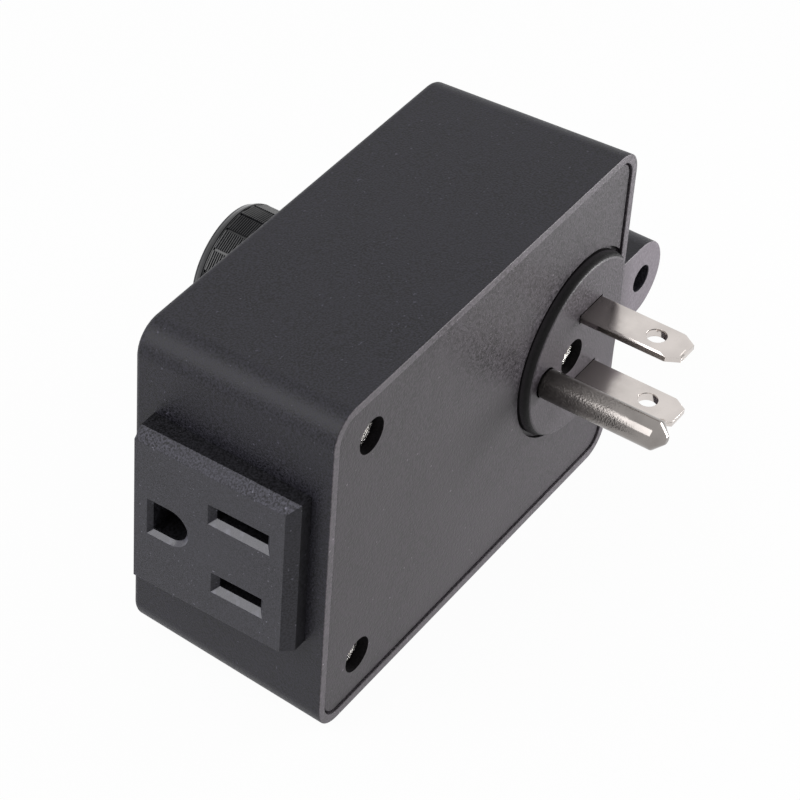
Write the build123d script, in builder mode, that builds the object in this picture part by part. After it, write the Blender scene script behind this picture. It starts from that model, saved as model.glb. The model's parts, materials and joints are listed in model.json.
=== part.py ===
import os
from math import atan2, cos, degrees, radians, sin, tan

from build123d import *

# Fan speed controller that plugs straight into a wall outlet.
# All lengths are in millimetres. The part lies on a long side wall: +Z is up, -Y is
# the knob's side, +Y is the plug's side, +X is the outlet's end, -X the ear's end.

# Case
case_length = 79.0
case_width = 60.0
case_depth = 34.2
end_draft = 1.0
side_draft = 1.5
case_corner = 4.8
front_edge = 1.0
wall = 2.4

# Rim and back cover
rim_wall = 1.5
rim_gap = 0.15
cover_sunk = 0.3
cover_thickness = 2.5
cover_edge = 0.25

# Hanging ear
ear_thickness = 6.0
ear_radius = 6.7
ear_round_reach = 5.3
ear_hole_reach = 6.1
ear_hole_radius = 2.25
ear_edge = 0.5

# Blades
blade_width = 6.35
blade_thickness = 1.52
blade_spacing = 12.7
blade_reach = 16.8
blade_from_ear_end = 11.85
blade_hole_radius = 1.6
blade_hole_reach = 11.4
blade_point_length = 2.1
blade_point_side = 1.3
blade_edge = 0.3
shoulder_overhang = 1.4
shoulder_height = 1.8
tail_width = 3.6
tail_proud = 4.0

# Ground pin
pin_radius = 2.375
pin_reach = 21.1
pin_nose = 2.3
pin_root_step = 0.3
pin_root_reach = 0.3
pin_offset = 11.9
pin_flange = 0.8
pin_tail_radius = 1.6
prong_clearance = 0.1

# Round boss on the cover and the plate under it
boss_radius = 15.2
boss_height = 1.5
boss_slant = 0.4
boss_from_ear_end = 13.3
boss_flat_inset = 0.2
boss_flat_corner = 2.5
groove_width = 0.6
groove_depth = 0.65
clamp_length = 24.0
clamp_width = 24.0
clamp_thickness = 4.0
clamp_corner = 2.0

# Screws of the cover and of the plug
screw_from_end = 9.7
screw_from_side = 8.7
screw_head_radius = 2.65
screw_head_height = 1.7
screw_radius = 1.45
screw_length = 12.0
screw_sunk = 1.5
screw_seat = 1.3
screw_bore_clearance = 0.25
screw_shank_clearance = 0.2
pilot_clearance = 0.02
plug_screw_from_ear_end = 16.3
plug_screw_sunk = 1.3
collar_wall = 1.05
post_radius = 3.6
post_rib = 1.2
rib_bite = 0.3

# Shape of every cross-head screw, as shares of the sizes of its head and shank
recess_width_share = 0.3
recess_length_share = 1.2
recess_depth_share = 0.6
head_round_share = 0.45
point_share = 0.45

# Outlet block on the end wall
block_depth = 27.3
block_width = 27.9
block_from_rim = 3.2
block_above_mid = 1.45
block_proud = 3.8
block_bevel = 1.6
neck_inset = 2.4
neck_reach = 3.6
neck_clearance = 0.15
slots_from_rim = 12.4
slots_above_mid = 0.4
neutral_slot = 8.7
line_slot = 7.1
slot_width = 1.9
slot_lead = 0.95
ground_width = 5.3
ground_flat = 3.2
ground_lead = 0.7
body_depth = 12.4
body_length = 26.0
body_rear_wall = 1.6
contact_metal = 0.6
contact_play = 0.15
contact_grip = 1.56
ground_sleeve_radius = 2.42
contact_tail = 2.2
contact_tail_width = 3.0
outlet_screw_radius = 1.1
outlet_screw_head_radius = 2.0
outlet_screw_head_height = 1.2
outlet_screw_grip = 2.4

# Knob
knob_from_ear_end = 29.9
knob_radius = 10.6
knob_height = 17.4
knob_lift = 0.8
knob_bright_edge = 0.7
knob_bright_length = 1.7
knob_panels = 18
panel_groove = 0.5
panel_groove_depth = 0.35
knob_rings = 14
ring_depth = 0.22
knob_wall = 2.4
knob_top = 3.2
knob_hub_radius = 4.6
hub_gap = 0.5
cap_margin = 1.6
cap_thickness = 0.8
cap_sunk = 0.15
pointer_width = 1.2
pointer_length = 5.0
pointer_depth = 0.3

# Potentiometer
pot_radius = 8.5
pot_height = 8.0
pot_wall = 0.8
wafer_thickness = 1.5
bushing_radius = 3.5
bushing_length = 6.4
bushing_clearance = 0.15
shaft_radius = 3.0
shaft_clearance = 0.05
shaft_flat = 0.7
shaft_reach = 9.0
rotor_radius = 5.0
rotor_play = 0.1
wiper_radius = 6.4
wiper_thickness = 0.5
wiper_gap = 0.3
washer_radius = 6.0
washer_thickness = 0.6
nut_across_flats = 10.0
nut_thickness = 2.0
pot_pin_pitch = 5.0
pot_pin_drop = 5.0
pot_pin_width = 1.1
pot_pin_thickness = 0.5
pot_pin_proud = 1.4

# Circuit board
board_thickness = 1.6
board_corner = 1.5
board_from_ear_end = 6.0
board_from_side = 4.0
board_from_outlet = 9.0
board_lift = 4.1
board_post_clearance = 0.4
board_screw_inset = 3.8
board_post_radius = 2.6
board_screw_radius = 1.1
board_screw_head_radius = 2.2
board_screw_head_height = 1.3
board_screw_length = 6.5
lead_radius = 0.35
lead_clearance = 0.1
lead_proud = 1.2
component_lift = 0.2

# Fuse and its clips
fuse_length = 20.0
fuse_radius = 2.6
fuse_glass_step = 0.25
fuse_cap_length = 5.0
fuse_along = 23.0
fuse_from_top = 5.1
clip_metal = 0.4
clip_length = 4.0
clip_base = 1.2

# Film capacitors
film_length = 17.0
film_width = 6.5
film_below_clamp = 0.9
film_along = 22.5
film_from_top = 12.2
film_pitch = 15.0
small_film_length = 7.0
small_film_width = 3.5
small_film_height = 7.0
small_film_along = 4.2
small_film_from_top = 11.0
small_film_pitch = 5.0
film_edge = 0.5

# Triac and heat sink
sink_length = 20.0
sink_below_cover = 1.4
sink_plate = 2.0
sink_fin_depth = 4.0
sink_fin = 1.2
sink_fins = 5
sink_along = 23.0
sink_across = 5.2
triac_width = 10.0
triac_thickness = 4.4
triac_below_sink_top = 0.4
triac_tab_height = 5.0
triac_tab = 1.3
triac_lift = 1.8
triac_pitch = 2.54
triac_hole_clearance = 0.15
triac_screw_radius = 1.45
triac_screw_head_radius = 2.3
triac_screw_head_height = 1.6

# Choke
choke_radius = 8.2
choke_bore_radius = 4.0
choke_height = 7.0
choke_from_outlet_end = 10.4
choke_above_mid = 1.0
winding_thickness = 0.9
winding_fit = 0.05
winding_open_angle = 40.0
winding_lead_inset = 5.0

# Resistors and trigger diode
resistor_length = 6.3
resistor_radius = 1.15
resistor_pitch = 10.0
resistor_count = 3
resistor_spacing = 2.8
resistor_from_outlet_end = 6.4
resistor_across = 8.6
diac_length = 4.0
diac_radius = 0.9
diac_pitch = 7.6
diac_along = 9.0
diac_across = 10.2

# Wires and their pads on the board
wire_radius = 0.9
wire_bend_share = 0.45
line_pad_along = 12.0
line_pad_above_mid = 7.2
load_pad_from_outlet_end = 2.4
load_pad_below_mid = 6.0
tail_run = 3.4
pad_run = 3.6
contact_run = 4.2
wire_side_step = 2.2
wire_below_clamp = 2.8
wire_below_cover = 1.7
wire_over_choke = 2.5
wire_above_ground_contact = 6.8

# Levels and places worked out from the sizes above. The origin is centred on the
# overall length and depth, at the height of the rim's edge that the part lies on.
end_x = (case_length + ear_round_reach + ear_radius - block_proud) / 2
ear_x = end_x - case_length
case_x = (end_x + ear_x) / 2
mid_z = case_width / 2
prong_height = boss_height - cover_sunk + pin_reach
rim_y = (case_depth + knob_lift + knob_height - prong_height) / 2
front_y = rim_y - case_depth
front_in_y = front_y + wall
cover_y = rim_y - cover_sunk
cover_in_y = cover_y - cover_thickness
boss_y = cover_y + boss_height
shoulder_y = cover_in_y - shoulder_height
clamp_y = cover_in_y - clamp_thickness
tail_y = clamp_y - tail_proud
pot_y = front_in_y + pot_height
board_front_y = pot_y + board_lift
board_y = board_front_y + board_thickness
seat_y = board_y + component_lift
solder_y = board_front_y - lead_proud

blade_x = ear_x + blade_from_ear_end
pin_x = blade_x + pin_offset
line_z = mid_z + blade_spacing / 2
neutral_z = mid_z - blade_spacing / 2
boss_x = ear_x + boss_from_ear_end
plug_screw_x = ear_x + plug_screw_from_ear_end
cover_screw_x = end_x - screw_from_end
knob_x = ear_x + knob_from_ear_end
knob_y = front_y - knob_lift
knob_front_y = knob_y - knob_height
board_x = ear_x + board_from_ear_end
side_angle = degrees(atan2(side_draft, case_depth))
end_angle = degrees(atan2(end_draft, case_depth))

os.makedirs("parts", exist_ok=True)


def facing_front(x, y, z):
    """Plane whose normal points at the knob's side."""
    return Plane(origin=(x, y, z), x_dir=(1, 0, 0), z_dir=(0, -1, 0))


def facing_back(x, y, z):
    """Plane whose normal points at the plug's side."""
    return Plane(origin=(x, y, z), x_dir=(-1, 0, 0), z_dir=(0, 1, 0))


def round_bar(x, z, radius, back, front, mode=Mode.ADD):
    """Add or cut a cylinder along Y between two levels."""
    with Locations(facing_front(x, back, z)):
        Cylinder(radius, back - front, align=(Align.CENTER, Align.CENTER, Align.MIN), mode=mode)


def block(low, high, mode=Mode.ADD):
    """Add or cut a box given by its low and high corners."""
    with Locations(low):
        Box(
            high[0] - low[0],
            high[1] - low[1],
            high[2] - low[2],
            align=(Align.MIN, Align.MIN, Align.MIN),
            mode=mode,
        )


def case_block(inset, back, front):
    """Block whose sides run parallel to the case's drafted walls, set in from them."""
    at_rim = Plane.XZ.offset(-rim_y)
    with BuildPart() as drafted:
        with BuildSketch(Plane.XZ.offset(-back)):
            with Locations((case_x, mid_z)):
                Rectangle(case_length - 2 * inset, case_width - 2 * inset)
        extrude(amount=back - front)
        draft(drafted.faces().filter_by(Axis.X), at_rim, end_angle)
        draft(drafted.faces().filter_by(Axis.Z), at_rim, side_angle)
        level_edges = drafted.faces().filter_by(Axis.Y).edges()
        fillet(drafted.edges() - level_edges, case_corner - inset)
    return drafted.part


def make_screw(head_radius, head_height, radius, length):
    """Cross-head screw standing on Z, the underside of its head at the origin."""
    recess_width = recess_width_share * head_radius
    recess_length = recess_length_share * head_radius
    with BuildPart() as screw:
        with BuildSketch():
            Circle(head_radius)
        extrude(amount=head_height)
        fillet(screw.edges().sort_by(Axis.Z)[-1], head_round_share * head_height)
        with BuildSketch():
            Circle(radius)
        extrude(amount=-length)
        chamfer(screw.edges().sort_by(Axis.Z)[0], point_share * radius)
        with BuildSketch(Plane.XY.offset(head_height)):
            Rectangle(recess_length, recess_width)
            Rectangle(recess_width, recess_length)
        extrude(amount=-recess_depth_share * head_height, mode=Mode.SUBTRACT)
    return screw.part


def board_point(along, across):
    """X and Z of a point measured from the board's ear end and lower edge."""
    return board_x + along, board_from_side + across


def save(item, name):
    """Label a finished piece and write it out."""
    item.label = name
    export_step(item, f"parts/{name}.step")


# Places on the outlet, which faces +X
slots_y = rim_y - slots_from_rim
slots_z = mid_z + slots_above_mid
neutral_slot_z = slots_z + blade_spacing / 2
line_slot_z = slots_z - blade_spacing / 2
ground_y = slots_y - pin_offset
block_y = rim_y - block_from_rim - block_depth / 2
block_z = mid_z + block_above_mid
face_x = end_x + block_proud
neck_x = end_x - neck_reach
body_x = neck_x - body_depth
cavity_x = body_x + body_rear_wall
contact_end_x = body_x - contact_tail
ground_sleeve_outer = ground_sleeve_radius + contact_metal
outlet_screw_spots = [
    (ground_y, neutral_slot_z + slot_width),
    (ground_y, line_slot_z - slot_width),
    (slots_y + slot_width, slots_z),
]

# Places on the board
board_length = body_x - board_from_outlet - board_x
board_width = case_width - 2 * board_from_side
board_screw_spots = [
    board_point(along, across)
    for along in (board_screw_inset, board_length - board_screw_inset)
    for across in (board_screw_inset, board_width - board_screw_inset)
]
cover_screw_spots = [(cover_screw_x, z) for z in (screw_from_side, case_width - screw_from_side)]
pot_pin_spots = [(knob_x - pot_pin_drop, mid_z + step * pot_pin_pitch) for step in (-1, 0, 1)]
film_x, film_z = board_point(film_along, board_width - film_from_top)
small_film_x, small_film_z = board_point(small_film_along, board_width - small_film_from_top)
fuse_x, fuse_z = board_point(fuse_along, board_width - fuse_from_top)
sink_x, sink_z = board_point(sink_along, sink_across)
choke_x, choke_z = board_point(
    board_length - choke_from_outlet_end, board_width / 2 + choke_above_mid
)
resistor_x, resistor_low_z = board_point(
    board_length - resistor_from_outlet_end, resistor_across
)
diac_x, diac_z = board_point(diac_along, diac_across)
line_pad_x, line_pad_z = board_point(line_pad_along, board_width / 2 + line_pad_above_mid)
load_pad_x, load_pad_z = board_point(
    board_length - load_pad_from_outlet_end, board_width / 2 - load_pad_below_mid
)
film_height = clamp_y - film_below_clamp - seat_y
sink_height = cover_in_y - sink_below_cover - seat_y
sink_face_z = sink_z + sink_plate
resistor_rows = [resistor_low_z + row * resistor_spacing for row in range(resistor_count)]

# Housing: front shell with the ear, the posts and the outlet's opening
cover_seat_y = cover_y - screw_sunk - screw_head_height
cover_post_y = cover_seat_y - screw_seat
plug_seat_y = boss_y - plug_screw_sunk - screw_head_height
with BuildPart() as housing:
    add(case_block(0, rim_y, front_y))
    fillet(housing.faces().sort_by(Axis.Y)[0].edges(), front_edge)
    with BuildSketch(Plane.XZ.offset(-rim_y)):
        with Locations((ear_x, mid_z)):
            Rectangle(2 * ear_round_reach, 2 * ear_radius)
        with Locations((ear_x - ear_round_reach, mid_z)):
            Circle(ear_radius)
    extrude(amount=ear_thickness)
    ear_front = housing.faces().filter_by(Axis.Y).sort_by(Axis.X)[0:2].sort_by(Axis.Y)[0]
    chamfer(ear_front.edges().sort_by(Axis.X)[0:3], ear_edge)
    add(case_block(wall, rim_y, front_in_y), mode=Mode.SUBTRACT)
    add(case_block(rim_wall, rim_y, cover_in_y), mode=Mode.SUBTRACT)
    ear_hole_x = ear_x - ear_hole_reach
    round_bar(ear_hole_x, mid_z, ear_hole_radius, rim_y, rim_y - ear_thickness, Mode.SUBTRACT)
    # posts of the cover screws, each with a rib to its side wall
    for x, z in cover_screw_spots:
        round_bar(x, z, post_radius, cover_post_y, front_in_y)
        side = 1 if z > mid_z else -1
        rib_z = mid_z + side * (mid_z - wall + rib_bite)
        block(
            (x - post_rib / 2, front_in_y, min(z, rib_z)),
            (x + post_rib / 2, cover_post_y, max(z, rib_z)),
        )
    # post of the plug screw and the low posts of the board
    round_bar(plug_screw_x, mid_z, post_radius, clamp_y, front_in_y)
    for x, z in board_screw_spots:
        round_bar(x, z, board_post_radius, board_front_y, front_in_y)
    # pilot holes
    for x, z in cover_screw_spots:
        pilot_end = cover_seat_y - screw_length - screw_radius
        round_bar(x, z, screw_radius + pilot_clearance, cover_post_y, pilot_end, Mode.SUBTRACT)
    pilot_end = plug_seat_y - screw_length - screw_radius
    round_bar(plug_screw_x, mid_z, screw_radius + pilot_clearance, clamp_y, pilot_end, Mode.SUBTRACT)
    for x, z in board_screw_spots:
        pilot_end = board_y - board_screw_length - board_screw_radius
        round_bar(x, z, board_screw_radius + pilot_clearance, board_front_y, pilot_end, Mode.SUBTRACT)
    # hole of the potentiometer's bushing
    round_bar(knob_x, mid_z, bushing_radius + bushing_clearance, front_in_y, front_y, Mode.SUBTRACT)
    # opening of the outlet's neck
    with BuildSketch(Plane.YZ.offset(end_x)):
        with Locations((block_y, block_z)):
            Rectangle(
                block_depth - 2 * neck_inset + 2 * neck_clearance,
                block_width - 2 * neck_inset + 2 * neck_clearance,
            )
    extrude(amount=-wall - end_draft, mode=Mode.SUBTRACT)
save(housing.part, "housing")

# Back cover with the round boss, the prongs' holes and the screws' seats
boss_flat_x = ear_x + rim_wall + rim_gap + boss_flat_inset
with BuildPart() as back_cover:
    add(case_block(rim_wall + rim_gap, cover_y, cover_in_y))
    chamfer(back_cover.faces().sort_by(Axis.Y)[-1].edges(), cover_edge)
    with BuildSketch(Plane.XZ.offset(-cover_y), mode=Mode.PRIVATE) as boss_outline:
        with Locations((boss_x, mid_z)):
            Circle(boss_radius)
        with Locations((boss_flat_x, mid_z)):
            Rectangle(
                boss_radius,
                2 * boss_radius,
                align=(Align.MAX, Align.CENTER),
                mode=Mode.SUBTRACT,
            )
        fillet(boss_outline.vertices(), boss_flat_corner)
    with BuildSketch(Plane.XZ.offset(-cover_y)):
        add(boss_outline.sketch_local)
        offset(amount=groove_width)
    extrude(amount=groove_depth, mode=Mode.SUBTRACT)
    with BuildSketch(Plane.XZ.offset(-cover_y + groove_depth)):
        add(boss_outline.sketch_local)
    extrude(amount=-groove_depth)
    with BuildSketch(Plane.XZ.offset(-cover_y)):
        add(boss_outline.sketch_local)
    extrude(amount=-boss_height, taper=degrees(atan2(boss_slant, boss_height)))
    # seats of the cover screws
    bore_radius = screw_head_radius + screw_bore_clearance
    for x, z in cover_screw_spots:
        round_bar(x, z, bore_radius + collar_wall, cover_in_y, cover_post_y)
        round_bar(x, z, bore_radius, cover_y, cover_seat_y, Mode.SUBTRACT)
        round_bar(x, z, screw_radius + screw_shank_clearance, cover_y, cover_post_y, Mode.SUBTRACT)
    # seat of the plug screw
    round_bar(plug_screw_x, mid_z, bore_radius, boss_y, plug_seat_y, Mode.SUBTRACT)
    round_bar(
        plug_screw_x, mid_z, screw_radius + screw_shank_clearance, boss_y, cover_in_y, Mode.SUBTRACT
    )
    # holes of the blades and the ground pin
    with BuildSketch(Plane.XZ.offset(-boss_y)):
        with Locations((blade_x, line_z), (blade_x, neutral_z)):
            Rectangle(blade_width + 2 * prong_clearance, blade_thickness + 2 * prong_clearance)
        with Locations((pin_x, mid_z)):
            Circle(pin_radius + prong_clearance)
    extrude(amount=boss_y - cover_in_y, mode=Mode.SUBTRACT)
save(back_cover.part, "back_cover")

# Plate under the cover that traps the blades' shoulders and the pin's flange
with BuildPart() as blade_clamp:
    with BuildSketch(Plane.XZ.offset(-cover_in_y)):
        with Locations(((blade_x + pin_x) / 2, mid_z)):
            RectangleRounded(clamp_length, clamp_width, clamp_corner)
    extrude(amount=clamp_thickness)
    with BuildSketch(Plane.XZ.offset(-cover_in_y)):
        with Locations((blade_x, line_z), (blade_x, neutral_z)):
            Rectangle(
                blade_width + 2 * shoulder_overhang + 2 * prong_clearance,
                blade_thickness + 2 * prong_clearance,
            )
        with Locations((pin_x, mid_z)):
            Circle(pin_radius + pin_flange + prong_clearance)
    extrude(amount=shoulder_height, mode=Mode.SUBTRACT)
    with BuildSketch(Plane.XZ.offset(-cover_in_y)):
        with Locations((blade_x, line_z), (blade_x, neutral_z)):
            Rectangle(tail_width + 2 * prong_clearance, blade_thickness + 2 * prong_clearance)
        with Locations((pin_x, mid_z)):
            Circle(pin_tail_radius + prong_clearance)
        with Locations((plug_screw_x, mid_z)):
            Circle(screw_radius + screw_shank_clearance)
    extrude(amount=clamp_thickness, mode=Mode.SUBTRACT)
save(blade_clamp.part, "blade_clamp")


# Blades and ground pin
def make_blade(z):
    """Flat blade with a cut point, a hole, shoulders under the cover and a solder tail."""
    tip_y = boss_y + blade_reach
    half = blade_width / 2
    with BuildPart() as blade:
        with BuildSketch(Plane(origin=(blade_x, 0, z - blade_thickness / 2))):
            with BuildLine():
                Polyline(
                    (0, tip_y),
                    (half - blade_point_side, tip_y),
                    (half, tip_y - blade_point_length),
                    (half, cover_in_y),
                    (half + shoulder_overhang, cover_in_y),
                    (half + shoulder_overhang, shoulder_y),
                    (tail_width / 2, shoulder_y),
                    (tail_width / 2, tail_y),
                    (0, tail_y),
                )
                mirror(about=Plane.YZ)
            make_face()
        extrude(amount=blade_thickness)
        broad_edges = blade.faces().filter_by(Axis.Z).edges()
        chamfer(broad_edges.filter_by(lambda edge: edge.center().Y > cover_in_y), blade_edge)
        with Locations((blade_x, boss_y + blade_hole_reach, z)):
            Cylinder(blade_hole_radius, 2 * blade_thickness, mode=Mode.SUBTRACT)
    return blade.part


save(make_blade(line_z), "line_blade")
save(make_blade(neutral_z), "neutral_blade")

with BuildPart() as ground_pin:
    round_bar(pin_x, mid_z, pin_radius, boss_y + pin_reach, boss_y + pin_root_reach)
    fillet(ground_pin.edges().sort_by(Axis.Y)[-1], pin_nose)
    round_bar(pin_x, mid_z, pin_radius - pin_root_step, boss_y + pin_root_reach, cover_in_y)
    round_bar(pin_x, mid_z, pin_radius + pin_flange, cover_in_y, shoulder_y)
    round_bar(pin_x, mid_z, pin_tail_radius, shoulder_y, tail_y)
save(ground_pin.part, "ground_pin")

# Screws of the cover and of the plug
case_screw = make_screw(screw_head_radius, screw_head_height, screw_radius, screw_length)
with BuildPart() as cover_screws:
    with Locations([facing_back(x, cover_seat_y, z) for x, z in cover_screw_spots]):
        add(case_screw)
save(cover_screws.part, "cover_screws")

with BuildPart() as plug_screw:
    with Locations(facing_back(plug_screw_x, plug_seat_y, mid_z)):
        add(case_screw)
save(plug_screw.part, "plug_screw")

# Outlet's outer half: the block with the slots, and the neck through the end wall
with BuildPart() as outlet_face:
    with BuildSketch(Plane.YZ.offset(face_x)):
        with Locations((block_y, block_z)):
            Rectangle(block_depth, block_width)
    extrude(amount=-block_proud - end_draft)
    front_edges = outlet_face.faces().sort_by(Axis.X)[-1].edges()
    chamfer([front_edges.sort_by(Axis.Y)[-1], front_edges.sort_by(Axis.Z)[-1]], block_bevel)
    add(case_block(0, rim_y, front_y), mode=Mode.SUBTRACT)
    with BuildSketch(Plane.YZ.offset(end_x)):
        with Locations((block_y, block_z)):
            Rectangle(block_depth - 2 * neck_inset, block_width - 2 * neck_inset)
    extrude(amount=-neck_reach)
    with BuildSketch(Plane.YZ.offset(face_x)):
        with Locations((slots_y, neutral_slot_z)):
            Rectangle(neutral_slot, slot_width)
        with Locations((slots_y, line_slot_z)):
            Rectangle(line_slot, slot_width)
    extrude(amount=neck_x - face_x, mode=Mode.SUBTRACT)
    slot_mouths = outlet_face.faces().sort_by(Axis.X)[-1].inner_wires().edges()
    chamfer(slot_mouths, slot_lead)
    with BuildSketch(Plane.YZ.offset(face_x)):
        with Locations((ground_y, slots_z)):
            Circle(ground_width / 2)
            Rectangle(ground_flat, ground_width, align=(Align.MAX, Align.CENTER))
    extrude(amount=neck_x - face_x, mode=Mode.SUBTRACT)
    mouths = outlet_face.faces().sort_by(Axis.X)[-1].inner_wires().sort_by(Axis.Y)
    chamfer(mouths[0].edges(), ground_lead)
    for y, z in outlet_screw_spots:
        with Locations(Plane(origin=(neck_x, y, z), z_dir=(1, 0, 0))):
            Cylinder(
                outlet_screw_radius + pilot_clearance,
                outlet_screw_grip + outlet_screw_radius,
                align=(Align.CENTER, Align.CENTER, Align.MIN),
                mode=Mode.SUBTRACT,
            )
save(outlet_face.part, "outlet_face")

# Outlet's inner half, which carries the contacts
contact_width = contact_grip + 2 * contact_metal
with BuildPart() as outlet_body:
    block(
        (body_x, block_y - body_length / 2, slots_z - body_length / 2),
        (neck_x, block_y + body_length / 2, slots_z + body_length / 2),
    )
    with BuildSketch(Plane.YZ.offset(neck_x)):
        with Locations((slots_y, neutral_slot_z)):
            Rectangle(neutral_slot + 2 * contact_play, contact_width + 2 * contact_play)
        with Locations((slots_y, line_slot_z)):
            Rectangle(line_slot + 2 * contact_play, contact_width + 2 * contact_play)
        with Locations((ground_y, slots_z)):
            Circle(ground_sleeve_outer + contact_play)
    extrude(amount=cavity_x - neck_x, mode=Mode.SUBTRACT)
    with BuildSketch(Plane.YZ.offset(cavity_x)):
        with Locations((slots_y, neutral_slot_z), (slots_y, line_slot_z), (ground_y, slots_z)):
            Rectangle(contact_tail_width + 2 * contact_play, contact_metal + 2 * contact_play)
        with Locations(outlet_screw_spots):
            Circle(outlet_screw_radius + pilot_clearance)
    extrude(amount=-body_rear_wall, mode=Mode.SUBTRACT)
    with BuildSketch(Plane.YZ.offset(neck_x)):
        with Locations(outlet_screw_spots):
            Circle(outlet_screw_radius + pilot_clearance)
    extrude(amount=cavity_x - neck_x, mode=Mode.SUBTRACT)
save(outlet_body.part, "outlet_body")


# Contacts of the outlet
def make_blade_contact(length, z):
    """Sprung U of sheet metal that grips a blade, with a solder tail."""
    with BuildPart() as contact:
        block(
            (cavity_x, slots_y - length / 2, z - contact_width / 2),
            (neck_x - contact_play, slots_y + length / 2, z + contact_width / 2),
        )
        block(
            (cavity_x + contact_metal, slots_y - length / 2, z - contact_grip / 2),
            (neck_x, slots_y + length / 2, z + contact_grip / 2),
            Mode.SUBTRACT,
        )
        block(
            (body_x - contact_tail, slots_y - contact_tail_width / 2, z - contact_metal / 2),
            (cavity_x, slots_y + contact_tail_width / 2, z + contact_metal / 2),
        )
    return contact.part


save(make_blade_contact(neutral_slot, neutral_slot_z), "neutral_contact")
save(make_blade_contact(line_slot, line_slot_z), "line_contact")

with BuildPart() as ground_contact:
    with BuildSketch(Plane.YZ.offset(cavity_x)):
        with Locations((ground_y, slots_z)):
            Circle(ground_sleeve_outer)
    extrude(amount=neck_x - contact_play - cavity_x)
    with BuildSketch(Plane.YZ.offset(cavity_x + contact_metal)):
        with Locations((ground_y, slots_z)):
            Circle(ground_sleeve_radius)
            Rectangle(2 * ground_sleeve_outer, contact_metal, align=(Align.MAX, Align.CENTER))
    extrude(amount=neck_x - cavity_x, mode=Mode.SUBTRACT)
    block(
        (body_x - contact_tail, ground_y - contact_tail_width / 2, slots_z - contact_metal / 2),
        (cavity_x, ground_y + contact_tail_width / 2, slots_z + contact_metal / 2),
    )
save(ground_contact.part, "ground_contact")

outlet_screw = make_screw(
    outlet_screw_head_radius,
    outlet_screw_head_height,
    outlet_screw_radius,
    body_depth + outlet_screw_grip,
)
with BuildPart() as outlet_screws:
    with Locations([Plane(origin=(body_x, y, z), z_dir=(-1, 0, 0)) for y, z in outlet_screw_spots]):
        add(outlet_screw)
save(outlet_screws.part, "outlet_screws")

# Knob with a ribbed, panelled side and a bright chamfered front edge
bushing_end_y = front_in_y - bushing_length
hub_y = bushing_end_y - hub_gap
shaft_end_y = hub_y - shaft_reach
knob_side_y = knob_front_y + knob_bright_length
knob_axis = Axis((knob_x, 0, mid_z), (0, 1, 0))
ring_pitch = (knob_y - knob_side_y) / (knob_rings + 1)
with BuildPart() as knob:
    with BuildSketch(Plane(origin=(knob_x, 0, mid_z))):
        with BuildLine():
            Polyline(
                (0, knob_front_y),
                (knob_radius - knob_bright_edge, knob_front_y),
                (knob_radius, knob_side_y),
                (knob_radius, knob_y),
                (knob_radius - knob_wall, knob_y),
                (knob_radius - knob_wall, knob_front_y + knob_top),
                (knob_hub_radius, knob_front_y + knob_top),
                (knob_hub_radius, hub_y),
                (shaft_radius + pilot_clearance, hub_y),
                (shaft_radius + pilot_clearance, shaft_end_y - pilot_clearance),
                (0, shaft_end_y - pilot_clearance),
                close=True,
            )
        make_face()
    revolve(axis=knob_axis)
    with BuildSketch(Plane(origin=(knob_x, 0, mid_z))):
        for ring in range(1, knob_rings + 1):
            with Locations((knob_radius, knob_y - ring * ring_pitch)):
                RegularPolygon(ring_depth, 4)
    revolve(axis=knob_axis, mode=Mode.SUBTRACT)
    with Locations(facing_front(knob_x, knob_y, mid_z)):
        with PolarLocations(knob_radius, knob_panels, start_angle=180 / knob_panels):
            Box(
                2 * panel_groove_depth,
                panel_groove,
                knob_y - knob_side_y,
                align=(Align.CENTER, Align.CENTER, Align.MIN),
                mode=Mode.SUBTRACT,
            )
    round_bar(
        knob_x,
        mid_z,
        knob_radius - cap_margin + pilot_clearance,
        knob_front_y + cap_sunk + cap_thickness,
        knob_front_y,
        Mode.SUBTRACT,
    )
    flat_x = knob_x + shaft_radius - shaft_flat + pilot_clearance
    block(
        (flat_x, shaft_end_y - pilot_clearance, mid_z - shaft_radius + shaft_flat),
        (knob_x + shaft_radius + 2 * pilot_clearance, hub_y, mid_z + shaft_radius - shaft_flat),
    )
save(knob.part, "knob")

cap_y = knob_front_y + cap_sunk
with BuildPart() as knob_cap:
    round_bar(knob_x, mid_z, knob_radius - cap_margin, cap_y + cap_thickness, cap_y)
    with BuildSketch(Plane.XZ.offset(-cap_y)):
        with Locations((knob_x - knob_radius + 2 * cap_margin, mid_z)):
            Rectangle(pointer_length, pointer_width, align=(Align.MIN, Align.CENTER))
    extrude(amount=-pointer_depth, mode=Mode.SUBTRACT)
save(knob_cap.part, "knob_cap")

# Potentiometer
wafer_y = pot_y - wafer_thickness
wiper_y = wafer_y - wiper_gap
rotor_y = front_in_y + pot_wall + rotor_play
with BuildPart() as pot_body:
    round_bar(knob_x, mid_z, pot_radius, pot_y, front_in_y)
    round_bar(knob_x, mid_z, bushing_radius, front_in_y, bushing_end_y)
    round_bar(knob_x, mid_z, pot_radius - pot_wall, pot_y, front_in_y + pot_wall, Mode.SUBTRACT)
    round_bar(knob_x, mid_z, shaft_radius + shaft_clearance, pot_y, bushing_end_y, Mode.SUBTRACT)
save(pot_body.part, "pot_body")

with BuildPart() as pot_wafer:
    round_bar(knob_x, mid_z, pot_radius - pot_wall - pilot_clearance, pot_y, wafer_y)
save(pot_wafer.part, "pot_wafer")

with BuildPart() as pot_terminals:
    for x, z in pot_pin_spots:
        block(
            (x - pot_pin_thickness / 2, pot_y, z - pot_pin_width / 2),
            (x + pot_pin_thickness / 2, board_y + pot_pin_proud, z + pot_pin_width / 2),
        )
save(pot_terminals.part, "pot_terminals")

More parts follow.
